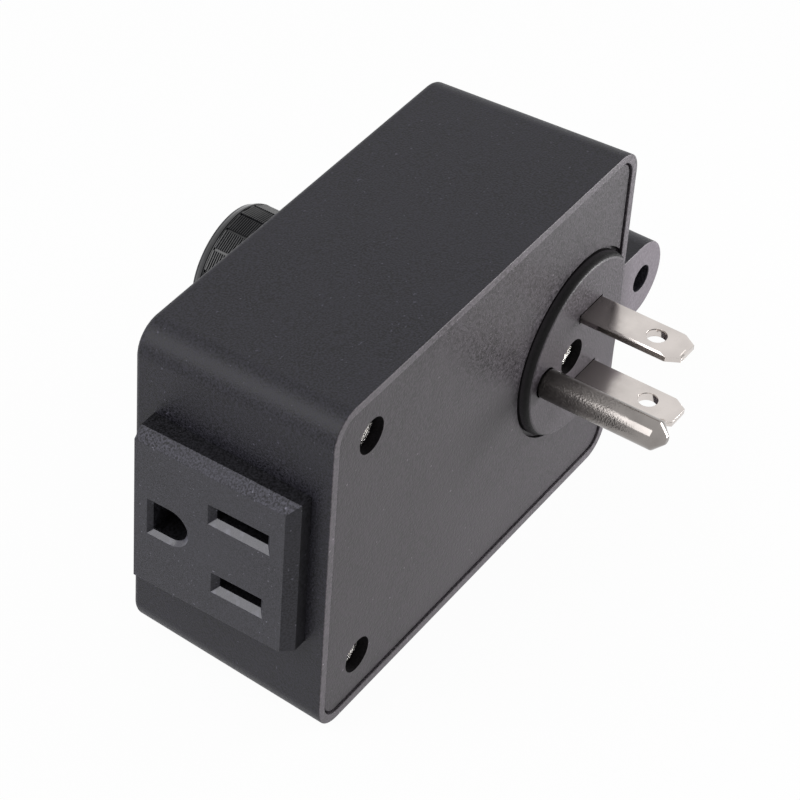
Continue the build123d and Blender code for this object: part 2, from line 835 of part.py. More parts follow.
with BuildPart() as pot_shaft:
    round_bar(knob_x, mid_z, rotor_radius, wiper_y - wiper_thickness, rotor_y)
    round_bar(knob_x, mid_z, shaft_radius, rotor_y, shaft_end_y)
    block(
        (flat_x - pilot_clearance, shaft_end_y, mid_z - shaft_radius),
        (knob_x + shaft_radius, hub_y, mid_z + shaft_radius),
        Mode.SUBTRACT,
    )
save(pot_shaft.part, "pot_shaft")

with BuildPart() as pot_wiper:
    with BuildSketch(Plane.XZ.offset(-wiper_y)):
        with Locations((knob_x, mid_z)):
            Circle(shaft_radius)
            Rectangle(2 * wiper_radius, shaft_radius)
    extrude(amount=wiper_thickness)
save(pot_wiper.part, "pot_wiper")

nut_y = front_y - washer_thickness
with BuildPart() as pot_washer:
    round_bar(knob_x, mid_z, washer_radius, front_y, nut_y)
    round_bar(knob_x, mid_z, bushing_radius + pilot_clearance, front_y, nut_y, Mode.SUBTRACT)
save(pot_washer.part, "pot_washer")

with BuildPart() as pot_nut:
    with BuildSketch(Plane.XZ.offset(-nut_y)):
        with Locations((knob_x, mid_z)):
            RegularPolygon(nut_across_flats / 2, 6, major_radius=False)
            Circle(bushing_radius + pilot_clearance, mode=Mode.SUBTRACT)
    extrude(amount=nut_thickness)
save(pot_nut.part, "pot_nut")

# Circuit board, drilled for the screws, the plug's post and every lead
triac_z = sink_face_z + triac_thickness / 2
winding_radius = (choke_radius + choke_bore_radius) / 2
choke_lead_angles = [
    radians(angle) for angle in (winding_lead_inset, -winding_open_angle - winding_lead_inset)
]
choke_leads = [
    (choke_x + winding_radius * cos(angle), choke_z - winding_radius * sin(angle))
    for angle in choke_lead_angles
]
sink_leads = [
    (sink_x + side * (sink_length / 2 - sink_plate), sink_z + sink_plate / 2) for side in (-1, 1)
]
clip_leads = [(fuse_x + side * (fuse_length - fuse_cap_length) / 2, fuse_z) for side in (-1, 1)]
triac_leads = [(sink_x + step * triac_pitch, triac_z) for step in (-1, 0, 1)]
film_leads = [(film_x + side * film_pitch / 2, film_z) for side in (-1, 1)]
small_film_leads = [(small_film_x, small_film_z + side * small_film_pitch / 2) for side in (-1, 1)]
resistor_leads = [
    (resistor_x + side * resistor_pitch / 2, z) for z in resistor_rows for side in (-1, 1)
]
diac_leads = [(diac_x, diac_z + side * diac_pitch / 2) for side in (-1, 1)]
with BuildPart() as circuit_board:
    with BuildSketch(Plane.XZ.offset(-board_y)):
        with Locations((board_x + board_length / 2, board_from_side + board_width / 2)):
            RectangleRounded(board_length, board_width, board_corner)
        with Locations((plug_screw_x, mid_z)):
            Circle(post_radius + board_post_clearance, mode=Mode.SUBTRACT)
        with Locations(board_screw_spots):
            Circle(board_screw_radius + lead_clearance, mode=Mode.SUBTRACT)
        with Locations(pot_pin_spots):
            Rectangle(
                pot_pin_thickness + 2 * lead_clearance,
                pot_pin_width + 2 * lead_clearance,
                mode=Mode.SUBTRACT,
            )
        with Locations(
            choke_leads
            + sink_leads
            + clip_leads
            + triac_leads
            + film_leads
            + small_film_leads
            + resistor_leads
            + diac_leads
        ):
            Circle(lead_radius + lead_clearance, mode=Mode.SUBTRACT)
    extrude(amount=board_thickness)
save(circuit_board.part, "circuit_board")

board_screw = make_screw(
    board_screw_head_radius, board_screw_head_height, board_screw_radius, board_screw_length
)
with BuildPart() as board_screws:
    with Locations([facing_back(x, board_y, z) for x, z in board_screw_spots]):
        add(board_screw)
save(board_screws.part, "board_screws")


def add_leads(spots, top):
    """Add the leads of a component, from a level in it down through the board."""
    for x, z in spots:
        round_bar(x, z, lead_radius, top, solder_y)


# Fuse, with its metal end caps, and the clips that hold it
fuse_y = seat_y + clip_base + fuse_radius
with BuildPart() as fuse:
    with Locations(Plane(origin=(fuse_x, fuse_y, fuse_z), z_dir=(1, 0, 0))):
        Cylinder(fuse_radius - fuse_glass_step, fuse_length)
    for side in (-1, 1):
        cap_x = fuse_x + side * (fuse_length - fuse_cap_length) / 2
        with Locations(Plane(origin=(cap_x, fuse_y, fuse_z), z_dir=(1, 0, 0))):
            Cylinder(fuse_radius, fuse_cap_length)
save(fuse.part, "fuse")

with BuildPart() as fuse_clips:
    clip_half = fuse_radius + pilot_clearance
    for x, z in clip_leads:
        block(
            (x - clip_length / 2, seat_y, z - clip_half - clip_metal),
            (x + clip_length / 2, fuse_y + fuse_radius / 2, z + clip_half + clip_metal),
        )
        block(
            (x - clip_length / 2, seat_y + clip_metal, z - clip_half),
            (x + clip_length / 2, fuse_y + fuse_radius, z + clip_half),
            Mode.SUBTRACT,
        )
    add_leads(clip_leads, seat_y)
save(fuse_clips.part, "fuse_clips")

# Film capacitors
with BuildPart() as film_capacitor:
    block(
        (film_x - film_length / 2, seat_y, film_z - film_width / 2),
        (film_x + film_length / 2, seat_y + film_height, film_z + film_width / 2),
    )
    fillet(film_capacitor.edges(), film_edge)
    add_leads(film_leads, seat_y)
save(film_capacitor.part, "film_capacitor")

with BuildPart() as trigger_capacitor:
    small_film_low_z = small_film_z - small_film_length / 2
    block(
        (small_film_x - small_film_width / 2, seat_y, small_film_low_z),
        (
            small_film_x + small_film_width / 2,
            seat_y + small_film_height,
            small_film_low_z + small_film_length,
        ),
    )
    fillet(trigger_capacitor.edges(), film_edge)
    add_leads(small_film_leads, seat_y)
save(trigger_capacitor.part, "trigger_capacitor")

# Heat sink with its fins, the triac on its face, and the screw that clamps them
triac_base_y = board_y + triac_lift
triac_top_y = seat_y + sink_height - triac_below_sink_top - triac_tab_height
triac_hole_y = triac_top_y + triac_tab_height / 2
fin_pitch = (sink_length - sink_fin) / (sink_fins - 1)
with BuildPart() as heat_sink:
    block(
        (sink_x - sink_length / 2, seat_y, sink_z),
        (sink_x + sink_length / 2, seat_y + sink_height, sink_face_z),
    )
    for fin in range(sink_fins):
        fin_x = sink_x - sink_length / 2 + fin * fin_pitch
        block(
            (fin_x, seat_y, sink_z - sink_fin_depth),
            (fin_x + sink_fin, seat_y + sink_height, sink_z),
        )
    with Locations((sink_x, triac_hole_y, sink_z)):
        Cylinder(
            triac_screw_radius + pilot_clearance,
            sink_plate,
            align=(Align.CENTER, Align.CENTER, Align.MIN),
            mode=Mode.SUBTRACT,
        )
    add_leads(sink_leads, seat_y)
save(heat_sink.part, "heat_sink")

with BuildPart() as triac:
    block(
        (sink_x - triac_width / 2, triac_base_y, sink_face_z),
        (sink_x + triac_width / 2, triac_top_y, sink_face_z + triac_thickness),
    )
    block(
        (sink_x - triac_width / 2, triac_top_y, sink_face_z),
        (sink_x + triac_width / 2, triac_top_y + triac_tab_height, sink_face_z + triac_tab),
    )
    with Locations((sink_x, triac_hole_y, sink_face_z)):
        Cylinder(triac_screw_radius + triac_hole_clearance, 2 * triac_tab, mode=Mode.SUBTRACT)
    add_leads(triac_leads, triac_base_y)
save(triac.part, "triac")

with BuildPart() as triac_screw:
    with Locations((sink_x, triac_hole_y, sink_face_z + triac_tab)):
        add(
            make_screw(
                triac_screw_head_radius,
                triac_screw_head_height,
                triac_screw_radius,
                triac_tab + sink_plate - pilot_clearance,
            )
        )
save(triac_screw.part, "triac_screw")

# Choke: ring core with its winding, open over a short arc
choke_axis = Axis((choke_x, 0, choke_z), (0, 1, 0))
core_side = winding_thickness + winding_fit
choke_plane = Plane(origin=(choke_x, seat_y + choke_height / 2, choke_z))
ring_width = choke_radius - choke_bore_radius
with BuildPart() as choke_core:
    with BuildSketch(choke_plane):
        with Locations((winding_radius, 0)):
            Rectangle(ring_width - 2 * core_side, choke_height - 2 * core_side)
    revolve(axis=choke_axis)
save(choke_core.part, "choke_core")

with BuildPart() as choke_winding:
    with BuildSketch(choke_plane):
        with Locations((winding_radius, 0)):
            Rectangle(ring_width, choke_height)
            Rectangle(
                ring_width - 2 * winding_thickness,
                choke_height - 2 * winding_thickness,
                mode=Mode.SUBTRACT,
            )
    revolve(axis=choke_axis, revolution_arc=360 - winding_open_angle)
    add_leads(choke_leads, seat_y + winding_thickness)
save(choke_winding.part, "choke_winding")


# Resistors and trigger diode
def make_axial(length, radius, pitch):
    """Component lying along X with its leads bent down, seated at the origin."""
    with BuildPart() as axial:
        with Locations(Plane(origin=(0, 0, radius), z_dir=(1, 0, 0))):
            Cylinder(radius, length)
            Cylinder(lead_radius, pitch + 2 * lead_radius)
        with Locations((-pitch / 2, 0, radius), (pitch / 2, 0, radius)):
            Cylinder(
                lead_radius,
                radius + seat_y - solder_y,
                align=(Align.CENTER, Align.CENTER, Align.MAX),
            )
    return axial.part


with BuildPart() as resistors:
    with Locations([facing_back(resistor_x, seat_y, z) for z in resistor_rows]):
        add(make_axial(resistor_length, resistor_radius, resistor_pitch))
save(resistors.part, "resistors")

with BuildPart() as diac:
    with Locations(Plane(origin=(diac_x, seat_y, diac_z), x_dir=(0, 0, 1), z_dir=(0, 1, 0))):
        add(make_axial(diac_length, diac_radius, diac_pitch))
save(diac.part, "diac")


# Wires
def make_wire(*points):
    """Round wire along straight runs joined by tangent arcs."""
    knots = [Vector(point) for point in points]
    bends = []
    for before, corner, after in zip(knots, knots[1:], knots[2:]):
        run_in = corner - before
        run_out = after - corner
        turn = radians(run_in.get_angle(run_out))
        bends.append(wire_bend_share * min(run_in.length, run_out.length) / tan(turn / 2))
    print("wire bends:", [round(bend, 1) for bend in bends])
    with BuildPart() as wire:
        with BuildLine() as route:
            FilletPolyline(*knots, radius=bends)
        with BuildSketch(Plane(origin=route.line @ 0, z_dir=route.line % 0)):
            Circle(wire_radius)
        sweep()
    return wire.part


choke_top_y = seat_y + choke_height
save(
    make_wire(
        (blade_x, tail_y, line_z),
        (blade_x, tail_y - tail_run, line_z),
        (line_pad_x, board_y + pad_run, line_pad_z),
        (line_pad_x, board_y, line_pad_z),
    ),
    "line_wire",
)
save(
    make_wire(
        (blade_x, tail_y, neutral_z),
        (blade_x, tail_y - tail_run, neutral_z),
        (knob_x, clamp_y - wire_below_clamp, neutral_z - wire_side_step),
        (choke_x - winding_radius / 2, cover_in_y - wire_below_cover, choke_z - winding_radius),
        (choke_x + winding_radius, cover_in_y - wire_below_cover, choke_z + winding_radius / 3),
        (contact_end_x - 1.5 * contact_run, slots_y + contact_run, neutral_slot_z),
        (contact_end_x - contact_run, slots_y, neutral_slot_z),
        (contact_end_x, slots_y, neutral_slot_z),
    ),
    "neutral_wire",
)
save(
    make_wire(
        (pin_x, tail_y, mid_z),
        (pin_x, tail_y - tail_run, mid_z),
        (knob_x, tail_y - tail_run / 2, mid_z - wire_side_step),
        (choke_x - winding_radius / 2, choke_top_y + wire_over_choke, choke_z - winding_radius),
        (choke_x + choke_radius, choke_top_y + wire_over_choke, choke_z - choke_bore_radius),
        (contact_end_x - contact_run, ground_y + wire_above_ground_contact, slots_z),
        (contact_end_x - contact_run, ground_y, slots_z),
        (contact_end_x, ground_y, slots_z),
    ),
    "ground_wire",
)
save(
    make_wire(
        (load_pad_x, board_y, load_pad_z),
        (load_pad_x, board_y + pad_run, load_pad_z),
        (contact_end_x - contact_run, slots_y, line_slot_z),
        (contact_end_x, slots_y, line_slot_z),
    ),
    "load_wire",
)
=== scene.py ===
"""Plug-in fan speed controller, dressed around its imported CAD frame."""

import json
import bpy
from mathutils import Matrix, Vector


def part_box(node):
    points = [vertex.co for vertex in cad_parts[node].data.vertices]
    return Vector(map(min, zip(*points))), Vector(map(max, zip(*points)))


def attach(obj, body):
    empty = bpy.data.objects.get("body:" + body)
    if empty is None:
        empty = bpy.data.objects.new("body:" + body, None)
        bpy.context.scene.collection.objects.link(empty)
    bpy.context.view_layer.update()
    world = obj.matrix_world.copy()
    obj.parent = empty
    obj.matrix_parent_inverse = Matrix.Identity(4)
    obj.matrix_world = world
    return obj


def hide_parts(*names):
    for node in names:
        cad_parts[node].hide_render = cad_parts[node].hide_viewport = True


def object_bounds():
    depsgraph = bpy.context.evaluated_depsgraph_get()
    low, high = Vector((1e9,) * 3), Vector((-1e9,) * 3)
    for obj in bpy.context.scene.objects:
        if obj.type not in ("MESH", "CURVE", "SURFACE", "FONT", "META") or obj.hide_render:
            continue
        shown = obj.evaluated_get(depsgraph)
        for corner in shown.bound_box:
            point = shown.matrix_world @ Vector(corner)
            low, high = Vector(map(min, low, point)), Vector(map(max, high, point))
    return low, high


bl_info = {
    "name": "Fan speed controller",
    "version": (1, 0, 0),
    "blender": (4, 5, 0),
    "location": "View3D > Sidebar > Controller",
    "description": "Builds a plug-in fan speed controller with its knob, dial, plug and outlet",
    "category": "Object",
}

from math import cos, pi, radians, sin, tau

import bmesh
import bpy
from bpy.props import FloatProperty, FloatVectorProperty, IntProperty, PointerProperty
from mathutils import Matrix, Vector

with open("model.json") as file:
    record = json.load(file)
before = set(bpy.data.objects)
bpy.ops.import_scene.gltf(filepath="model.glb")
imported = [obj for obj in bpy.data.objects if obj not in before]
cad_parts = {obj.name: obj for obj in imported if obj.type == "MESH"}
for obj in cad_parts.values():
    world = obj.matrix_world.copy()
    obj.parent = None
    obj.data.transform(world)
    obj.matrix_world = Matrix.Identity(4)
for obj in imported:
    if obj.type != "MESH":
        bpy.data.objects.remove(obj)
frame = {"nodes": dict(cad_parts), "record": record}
cad_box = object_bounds()

MM = 0.001


def corners(node_name):
    """Low and high corner of a node's box, in metres."""
    return tuple(Vector(corner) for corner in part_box(node_name))


# Levels and places of the CAD frame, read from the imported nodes
housing_low, housing_high = corners("housing")
cover_low, cover_high = corners("back_cover")
knob_low, knob_high = corners("knob")
cap_low, cap_high = corners("knob_cap")
shaft_front = corners("pot_shaft")[0].y
pin_low, pin_high = corners("ground_pin")
plug_screw_low, plug_screw_high = corners("plug_screw")
plug_screw_centre = (plug_screw_low + plug_screw_high) / 2
knob_centre = (knob_low + knob_high) / 2
knob_radius = (knob_high.x - knob_low.x) / 2
rim_y = housing_high.y
front_y = housing_low.y

# Play too small to see, distance at which points are one, and turns that are flat or an edge
HAIR = 0.02 * MM
WELD = 0.002 * MM
FLAT_ANGLE = radians(0.6)
EDGE_ANGLE = radians(28)

# Ear, the length over which its painted light fades, and the depth of the seam round the cover
EAR_REACH = 12 * MM
EAR_FADE = 3 * MM
SEAM_DEPTH = 2.2 * MM

# Boss of the back cover, seen along Y
BOSS_HEIGHT = 1.5 * MM
BOSS_RADIUS = 15.2 * MM
BOSS_ROLL = 0.5 * MM
BOSS_WALL_REACH = 1.2 * MM
BOSS_SHIFT = 3 * MM
BOSS_CENTRE = Vector((plug_screw_centre.x - BOSS_SHIFT, plug_screw_centre.z))
cover_level = cover_high.y - BOSS_HEIGHT

# Outlet: how far the slots lie inside the block's edges, and the bevel along its top
SLOT_INSET = 3 * MM
BEVEL_BAND = 2 * MM

# Blades: cut corners, the edge that is pressed thinner, and the painted shade at their root
BLADE_HALF_WIDTH = 3.175 * MM
CORNER_LENGTH = 2.1 * MM
CORNER_WIDTH = 1.3 * MM
COIN_REACH = 0.8 * MM
COIN_SLOPE = 0.4
BLADE_ROOT_SHADE = 6 * MM

# Ground pin: flange under the cover, neck in it, shank in the case and chamfered nose,
# then the painted shade at its root and how far below its tip it is sandy and bright
PIN_FLANGE = 0.8 * MM
PIN_FLANGE_THICKNESS = 1.8 * MM
PIN_NECK = 0.3 * MM
PIN_NECK_LENGTH = 4.3 * MM
PIN_SHANK_RADIUS = 1.6 * MM
NOSE_CUT = 1.75 * MM
NOSE_ROUND = 0.5 * MM
NOSE_HALF_TURN = radians(22.5)
PIN_ROOT_SHADE = 8 * MM
SANDY_BELOW = 10 * MM
BRIGHT_ABOVE = 4 * MM

# Screws
SCREW_HEAD = 1.7 * MM
SCREW_SHANK_RADIUS = 1.45 * MM
THREAD_PITCH = 0.9 * MM

# Knob
GROOVE_HALF_ANGLE = radians(1.2)
GROOVE_DEPTH = 0.35 * MM
RING_DEPTH = 0.11 * MM
RING_HALF = 0.12 * MM
BRIGHT_LENGTH = 1.7 * MM
BRIGHT_STEP = 0.7 * MM
CAP_MARGIN = 1.6 * MM
LIP = 0.12 * MM
SKIRT_WALL = 2.4 * MM
KNOB_TOP = 3.2 * MM
HUB_RADIUS = 4.6 * MM
HUB_LENGTH = 9 * MM
BORE_RADIUS = 3.02 * MM

# Pointer, as the ink that fills the groove in the knob's cap
POINTER_LENGTH = 4.7 * MM
POINTER_WIDTH = 0.9 * MM
POINTER_MIDDLE = 2.5 * MM
POINTER_GROOVE = 0.3 * MM
POINTER_INK = 0.16 * MM

# Dial print
DIAL_MARKS = 11
DIAL_SWEEP = radians(300)
PRINT_THICKNESS = 0.04 * MM
TICK_WIDTH = 0.5 * MM
LONG_TICK = 2.2 * MM
SHORT_TICK = 1.5 * MM
TICK_DISTANCE = 1.4 * MM
NUMBER_SIZE = 2.8 * MM
NUMBER_DISTANCE = 5.4 * MM

# Camera at the photograph's angle, and the place and size of the two lamps
CAMERA_PLACE = Vector((housing_high.x + 0.27711, rim_y + 0.17684, housing_low.z + 0.35591))
CAMERA_FORWARD = Vector((-0.65253, -0.39570, -0.64624))
CAMERA_RIGHT = Vector((-0.55774, 0.82811, 0.05612))
CAMERA_LENS = 150.29
CAMERA_SHIFT_Y = -0.0875
HIGH_LAMP = ((0.39, -0.24, 0.42), 0.5)
LOW_LAMP = ((-0.13, 0.135, 0.02), 0.1)
LAMP_AIM = Vector((0, 0, 0.03))
WORLD_GREY = (0.5, 0.5, 0.5, 1)
FLOOR_HALF_SIZE = 3.0
FLOOR_GAP = 0.05 * MM
FLOOR_WHITE = 0.96
WHITE = (1, 1, 1, 1)


def colour_setting(name, description, default):
    """Colour that a user can change."""
    return FloatVectorProperty(
        name=name, description=description, default=default, subtype="COLOR", size=3, min=0, max=1
    )


# Sizes and colours that a user would change
class CaseSettings(bpy.types.PropertyGroup):
    case_colour: colour_setting(
        "Case colour", "Colour of the moulded front shell", (0.0145, 0.0139, 0.0188)
    )
    cover_colour: colour_setting(
        "Back cover colour", "Colour of the moulded back cover", (0.0335, 0.029, 0.034)
    )
    edge_round: FloatProperty(
        name="Edge rounding",
        description="Width of the rounding on the moulded edges",
        default=0.16 * MM,
        min=0,
        max=MM,
        unit="LENGTH",
    )
    grain: FloatProperty(
        name="Texture grain",
        description="Size of the grains in the sparked surface",
        default=0.3 * MM,
        min=0.05 * MM,
        max=5 * MM,
        unit="LENGTH",
    )


class OutletSettings(bpy.types.PropertyGroup):
    outlet_colour: colour_setting(
        "Outlet colour", "Colour of the outlet block on the end wall", (0.0305, 0.0297, 0.0365)
    )


class PlugSettings(bpy.types.PropertyGroup):
    plating_colour: colour_setting(
        "Plating colour",
        "Colour of the nickel plate on the blades and the ground pin",
        (0.68, 0.63, 0.6),
    )
    blade_edge: FloatProperty(
        name="Blade edge",
        description="Width of the worn edge along the blades",
        default=0.08 * MM,
        min=0,
        max=0.5 * MM,
        unit="LENGTH",
    )


class KnobSettings(bpy.types.PropertyGroup):
    knob_colour: colour_setting(
        "Knob colour", "Colour of the glossy knob", (0.0095, 0.0095, 0.011)
    )
    panels: IntProperty(
        name="Grip panels",
        description="Number of flat panels around the knob",
        default=18,
        min=6,
        max=40,
    )
    rings: IntProperty(
        name="Grip rings",
        description="Number of fine rings across each panel",
        default=42,
        min=0,
        max=60,
    )
    print_colour: colour_setting(
        "Print colour", "Colour of the dial's print and of the pointer", (0.72, 0.72, 0.7)
    )


class StudioSettings(bpy.types.PropertyGroup):
    floor_colour: colour_setting(
        "Floor colour", "Colour of the pale studio floor", (0.8, 0.8, 0.8)
    )
    high_power: FloatProperty(
        name="High lamp power",
        description="Power of the large soft lamp above the outlet's end",
        default=2.2,
        min=0,
        max=100,
        unit="POWER",
    )
    low_power: FloatProperty(
        name="Low lamp power",
        description="Power of the small soft lamp beside the ear",
        default=0.46,
        min=0,
        max=100,
        unit="POWER",
    )


# Shader helpers
def new_material(name):
    """Empty node material, its node tree and its shader."""
    material = bpy.data.materials.new(name)
    material.use_nodes = True
    return material, material.node_tree, shader_of(material)


def shader_of(material):
    """Shader node of a material."""
    return material.node_tree.nodes["Principled BSDF"]


def covered(material, colour, rough, normal):
    """Lead a colour, a roughness and a normal to a material's shader."""
    shader = shader_of(material)
    for name, socket in (("Base Color", colour), ("Roughness", rough), ("Normal", normal)):
        material.node_tree.links.new(socket, shader.inputs[name])
    return material


def add_node(tree, kind, **values):
    """Node of a kind with its attributes and unlinked inputs set by name."""
    node = tree.nodes.new(kind)
    for key, value in values.items():
        if key.title() in node.inputs:
            node.inputs[key.title()].default_value = value
        else:
            setattr(node, key, value)
    return node


def stretched_place(tree, scale=(1, 1, 1), shift=(0, 0, 0)):
    """Object coordinates scaled along each axis and shifted."""
    place = tree.nodes.new("ShaderNodeTexCoord")
    mapping = tree.nodes.new("ShaderNodeMapping")
    mapping.inputs["Scale"].default_value = scale
    mapping.inputs["Location"].default_value = shift
    tree.links.new(place.outputs["Object"], mapping.inputs["Vector"])
    return mapping.outputs["Vector"]


def noise(tree, place, scale, detail=2.0):
    """Noise over the object, with features one over the scale apart."""
    texture = add_node(tree, "ShaderNodeTexNoise", scale=scale, detail=detail)
    tree.links.new(place, texture.inputs["Vector"])
    return texture.outputs["Fac"]


def ranged(tree, value, low, high, new_low, new_high):
    """A value moved from one range to another, held at both ends."""
    node = tree.nodes.new("ShaderNodeMapRange")
    for index, number in zip((1, 2, 3, 4), (low, high, new_low, new_high)):
        node.inputs[index].default_value = number
    tree.links.new(value, node.inputs[0])
    return node.outputs[0]


def mixed(tree, share, first, second):
    """Colour between two colours or colour sockets, by a share."""
    node = tree.nodes.new("ShaderNodeMix")
    node.data_type = "RGBA"
    tree.links.new(share, node.inputs[0])
    for index, colour in ((6, first), (7, second)):
        if isinstance(colour, bpy.types.NodeSocket):
            tree.links.new(colour, node.inputs[index])
        else:
            node.inputs[index].default_value = (*colour, 1)
    return node.outputs[2]


def bumped(tree, height, strength, distance, below=None):
    """Normal of a bump, laid over another bump if one is given."""
    node = add_node(tree, "ShaderNodeBump", strength=strength, distance=distance)
    tree.links.new(height, node.inputs["Height"])
    if below:
        tree.links.new(below, node.inputs["Normal"])
    return node.outputs["Normal"]


def along_axis(tree, axis, start, end, new_start, new_end):
    """A value that changes along one axis of the object, held at both ends."""
    place = tree.nodes.new("ShaderNodeTexCoord")
    parts = tree.nodes.new("ShaderNodeSeparateXYZ")
    tree.links.new(place.outputs["Object"], parts.inputs[0])
    return ranged(tree, parts.outputs[axis], start, end, new_start, new_end)


def shade(colour, factor):
    """A colour made lighter or darker."""
    return tuple(min(1.0, channel * factor) for channel in colour)


# Roughness, relief, shine and contrast of each moulded plastic
PLASTICS = {
    "case plastic": (0.44, 0.7, 0.26, 1.0),
    "rim painted light plastic": (0.4, 0.5, 0.34, 0.7),
    "seam painted light plastic": (0.5, 0.3, 0.26, 1.0),
    "cover plastic": (0.42, 0.7, 0.26, 0.85),
    "boss face painted light plastic": (0.42, 0.7, 0.28, 0.85),
    "boss wall painted shade plastic": (0.5, 0.3, 0.2, 1.0),
    "groove painted shade plastic": (0.6, 0.3, 0.1, 1.0),
    "outlet plastic": (0.46, 0.5, 0.3, 0.7),
    "outlet bevel painted light plastic": (0.58, 1.0, 0.24, 1.2),
    "contact chamber painted shade plastic": (0.6, 0.3, 0.08, 1.0),
    "outlet side painted shade plastic": (0.55, 0.5, 0.14, 1.0),
    "outlet slant painted shade plastic": (0.5, 0.5, 0.2, 0.6),
}


# Materials of what is seen
def moulded_plastic(name, colour, grain):
    """Satin black plastic with a fine sparked texture, cloudy patches and pale specks."""
    roughness, relief, shine, contrast = PLASTICS[name]
    material, tree, shader = new_material(name)
    shader.inputs["Specular IOR Level"].default_value = shine
    place = stretched_place(tree)
    grains = noise(tree, place, 1 / grain)
    clouds = noise(tree, place, 60.0, 4.0)
    specks = noise(tree, place, 0.6 / grain, 0.0)
    dark, pale = shade(colour, 1 - 0.8 * contrast), shade(colour, 1 + 0.9 * contrast)
    mottle = mixed(tree, ranged(tree, grains, 0.36, 0.64, 0, 1), dark, pale)
    patchy = mixed(tree, ranged(tree, clouds, 0.35, 0.65, 0, 0.3), mottle, shade(colour, 1.6))
    dusty = mixed(tree, ranged(tree, specks, 0.8, 0.86, 0, 0.5), patchy, shade(colour, 7))
    rough = ranged(tree, grains, 0.3, 0.7, roughness - 0.08, roughness + 0.14)
    waves = bumped(tree, clouds, 0.08, 0.4 * MM)
    return covered(material, dusty, rough, bumped(tree, grains, relief, 0.08 * MM, waves))


def plated_metal(name, colour, roughness, scratch_scale, root=None):
    """Plated metal with rolling lines, faint stains and a roughness that wanders.

    root is a level and a length along Y over which the plate is painted darker, as painted shade.
    """
    material, tree, shader = new_material(name)
    shader.inputs["Metallic"].default_value = 1.0
    lines = noise(tree, stretched_place(tree, scratch_scale), 1.0, 3.0)
    stains = noise(tree, stretched_place(tree), 220.0, 3.0)
    stained = mixed(tree, ranged(tree, stains, 0.35, 0.7, 0, 1), colour, shade(colour, 0.86))
    if root:
        # Painted shade: the plate is darker towards the root
        painted_root_shade = along_axis(tree, "Y", root[0], root[0] + root[1], 1, 0)
        stained = mixed(tree, painted_root_shade, stained, shade(colour, 0.4))
    rough = ranged(tree, stains, 0.3, 0.7, roughness * 0.8, roughness * 1.25)
    return covered(material, stained, rough, bumped(tree, lines, 0.12, 0.01 * MM))


def pin_metal(name, colour):
    """Plate of the ground pin with painted shade at its root: sandy near its root and bright at its
    nose.
    """
    material, tree, shader = new_material(name)
    shader.inputs["Metallic"].default_value = 1.0
    place = stretched_place(tree)
    grains = noise(tree, place, 3600.0, 1.0)
    stains = noise(tree, place, 300.0, 3.0)
    stained = mixed(tree, ranged(tree, stains, 0.35, 0.7, 0, 1), colour, shade(colour, 0.8))
    # Painted shade: the pin is much darker towards its root
    painted_root_shade = along_axis(tree, "Y", cover_high.y, cover_high.y + PIN_ROOT_SHADE, 1, 0)
    painted_tone = mixed(tree, painted_root_shade, stained, shade(colour, 0.25))
    sandy = along_axis(tree, "Y", pin_high.y - SANDY_BELOW, pin_high.y - BRIGHT_ABOVE, 1, 0)
    rough = ranged(tree, sandy, 0, 1, 0.12, 0.28)
    height = add_node(tree, "ShaderNodeMath", operation="MULTIPLY")
    tree.links.new(grains, height.inputs[0])
    tree.links.new(sandy, height.inputs[1])
    return covered(material, painted_tone, rough, bumped(tree, height.outputs[0], 0.8, 0.06 * MM))


def gloss_plastic(name, colour, roughness):
    """Glossy plastic with hair scratches and a little dust in its dull spots."""
    material, tree, _ = new_material(name)
    hairs = noise(tree, stretched_place(tree, (900, 4000, 900)), 1.0, 2.0)
    dull = noise(tree, stretched_place(tree), 700.0, 3.0)
    dusty = mixed(tree, ranged(tree, dull, 0.5, 0.8, 0, 1), colour, shade(colour, 2.4))
    rough = ranged(tree, dull, 0.3, 0.7, roughness, roughness + 0.12)
    return covered(material, dusty, rough, bumped(tree, hairs, 0.06, 0.01 * MM))


def spun_metal(name, colour):
    """Dark aluminium disc with rings left by the turning tool around the knob's axis."""
    material, tree, shader = new_material(name)
    shader.inputs["Metallic"].default_value = 1.0
    place = stretched_place(tree, shift=(-knob_centre.x, 0, -knob_centre.z))
    rings = add_node(
        tree,
        "ShaderNodeTexWave",
        wave_type="RINGS",
        rings_direction="Y",
        scale=900.0,
        distortion=0.6,
        detail=2.0,
    )
    tree.links.new(place, rings.inputs["Vector"])
    waves = rings.outputs["Fac"]
    spun = mixed(tree, waves, shade(colour, 0.8), shade(colour, 1.2))
    rough = ranged(tree, waves, 0, 1, 0.26, 0.38)
    return covered(material, spun, rough, bumped(tree, waves, 0.3, 0.02 * MM))


def printed_ink(name, colour):
    """Pale pad print, a little thin in places."""
    material, tree, _ = new_material(name)
    thin = noise(tree, stretched_place(tree), 2600.0, 3.0)
    ink = mixed(tree, ranged(tree, thin, 0.45, 0.8, 0, 1), colour, shade(colour, 0.6))
    rough = ranged(tree, thin, 0.3, 0.7, 0.42, 0.6)
    return covered(material, ink, rough, bumped(tree, thin, 0.15, 0.01 * MM))


# Materials of the parts inside the case
def inner_material(name, colour, other, scale, roughness, metallic, relief):
    """Finish of an inner part: two tones mottled together, with a fine relief."""
    material, tree, shader = new_material(name)
    shader.inputs["Metallic"].default_value = metallic
    pattern = noise(tree, stretched_place(tree, scale), 1.0, 3.0)
    tones = mixed(tree, ranged(tree, pattern, 0.4, 0.65, 0, 1), colour, other)
    rough = ranged(tree, pattern, 0.3, 0.7, roughness * 0.85, roughness * 1.15)
    return covered(material, tones, rough, bumped(tree, pattern, relief, 0.03 * MM))


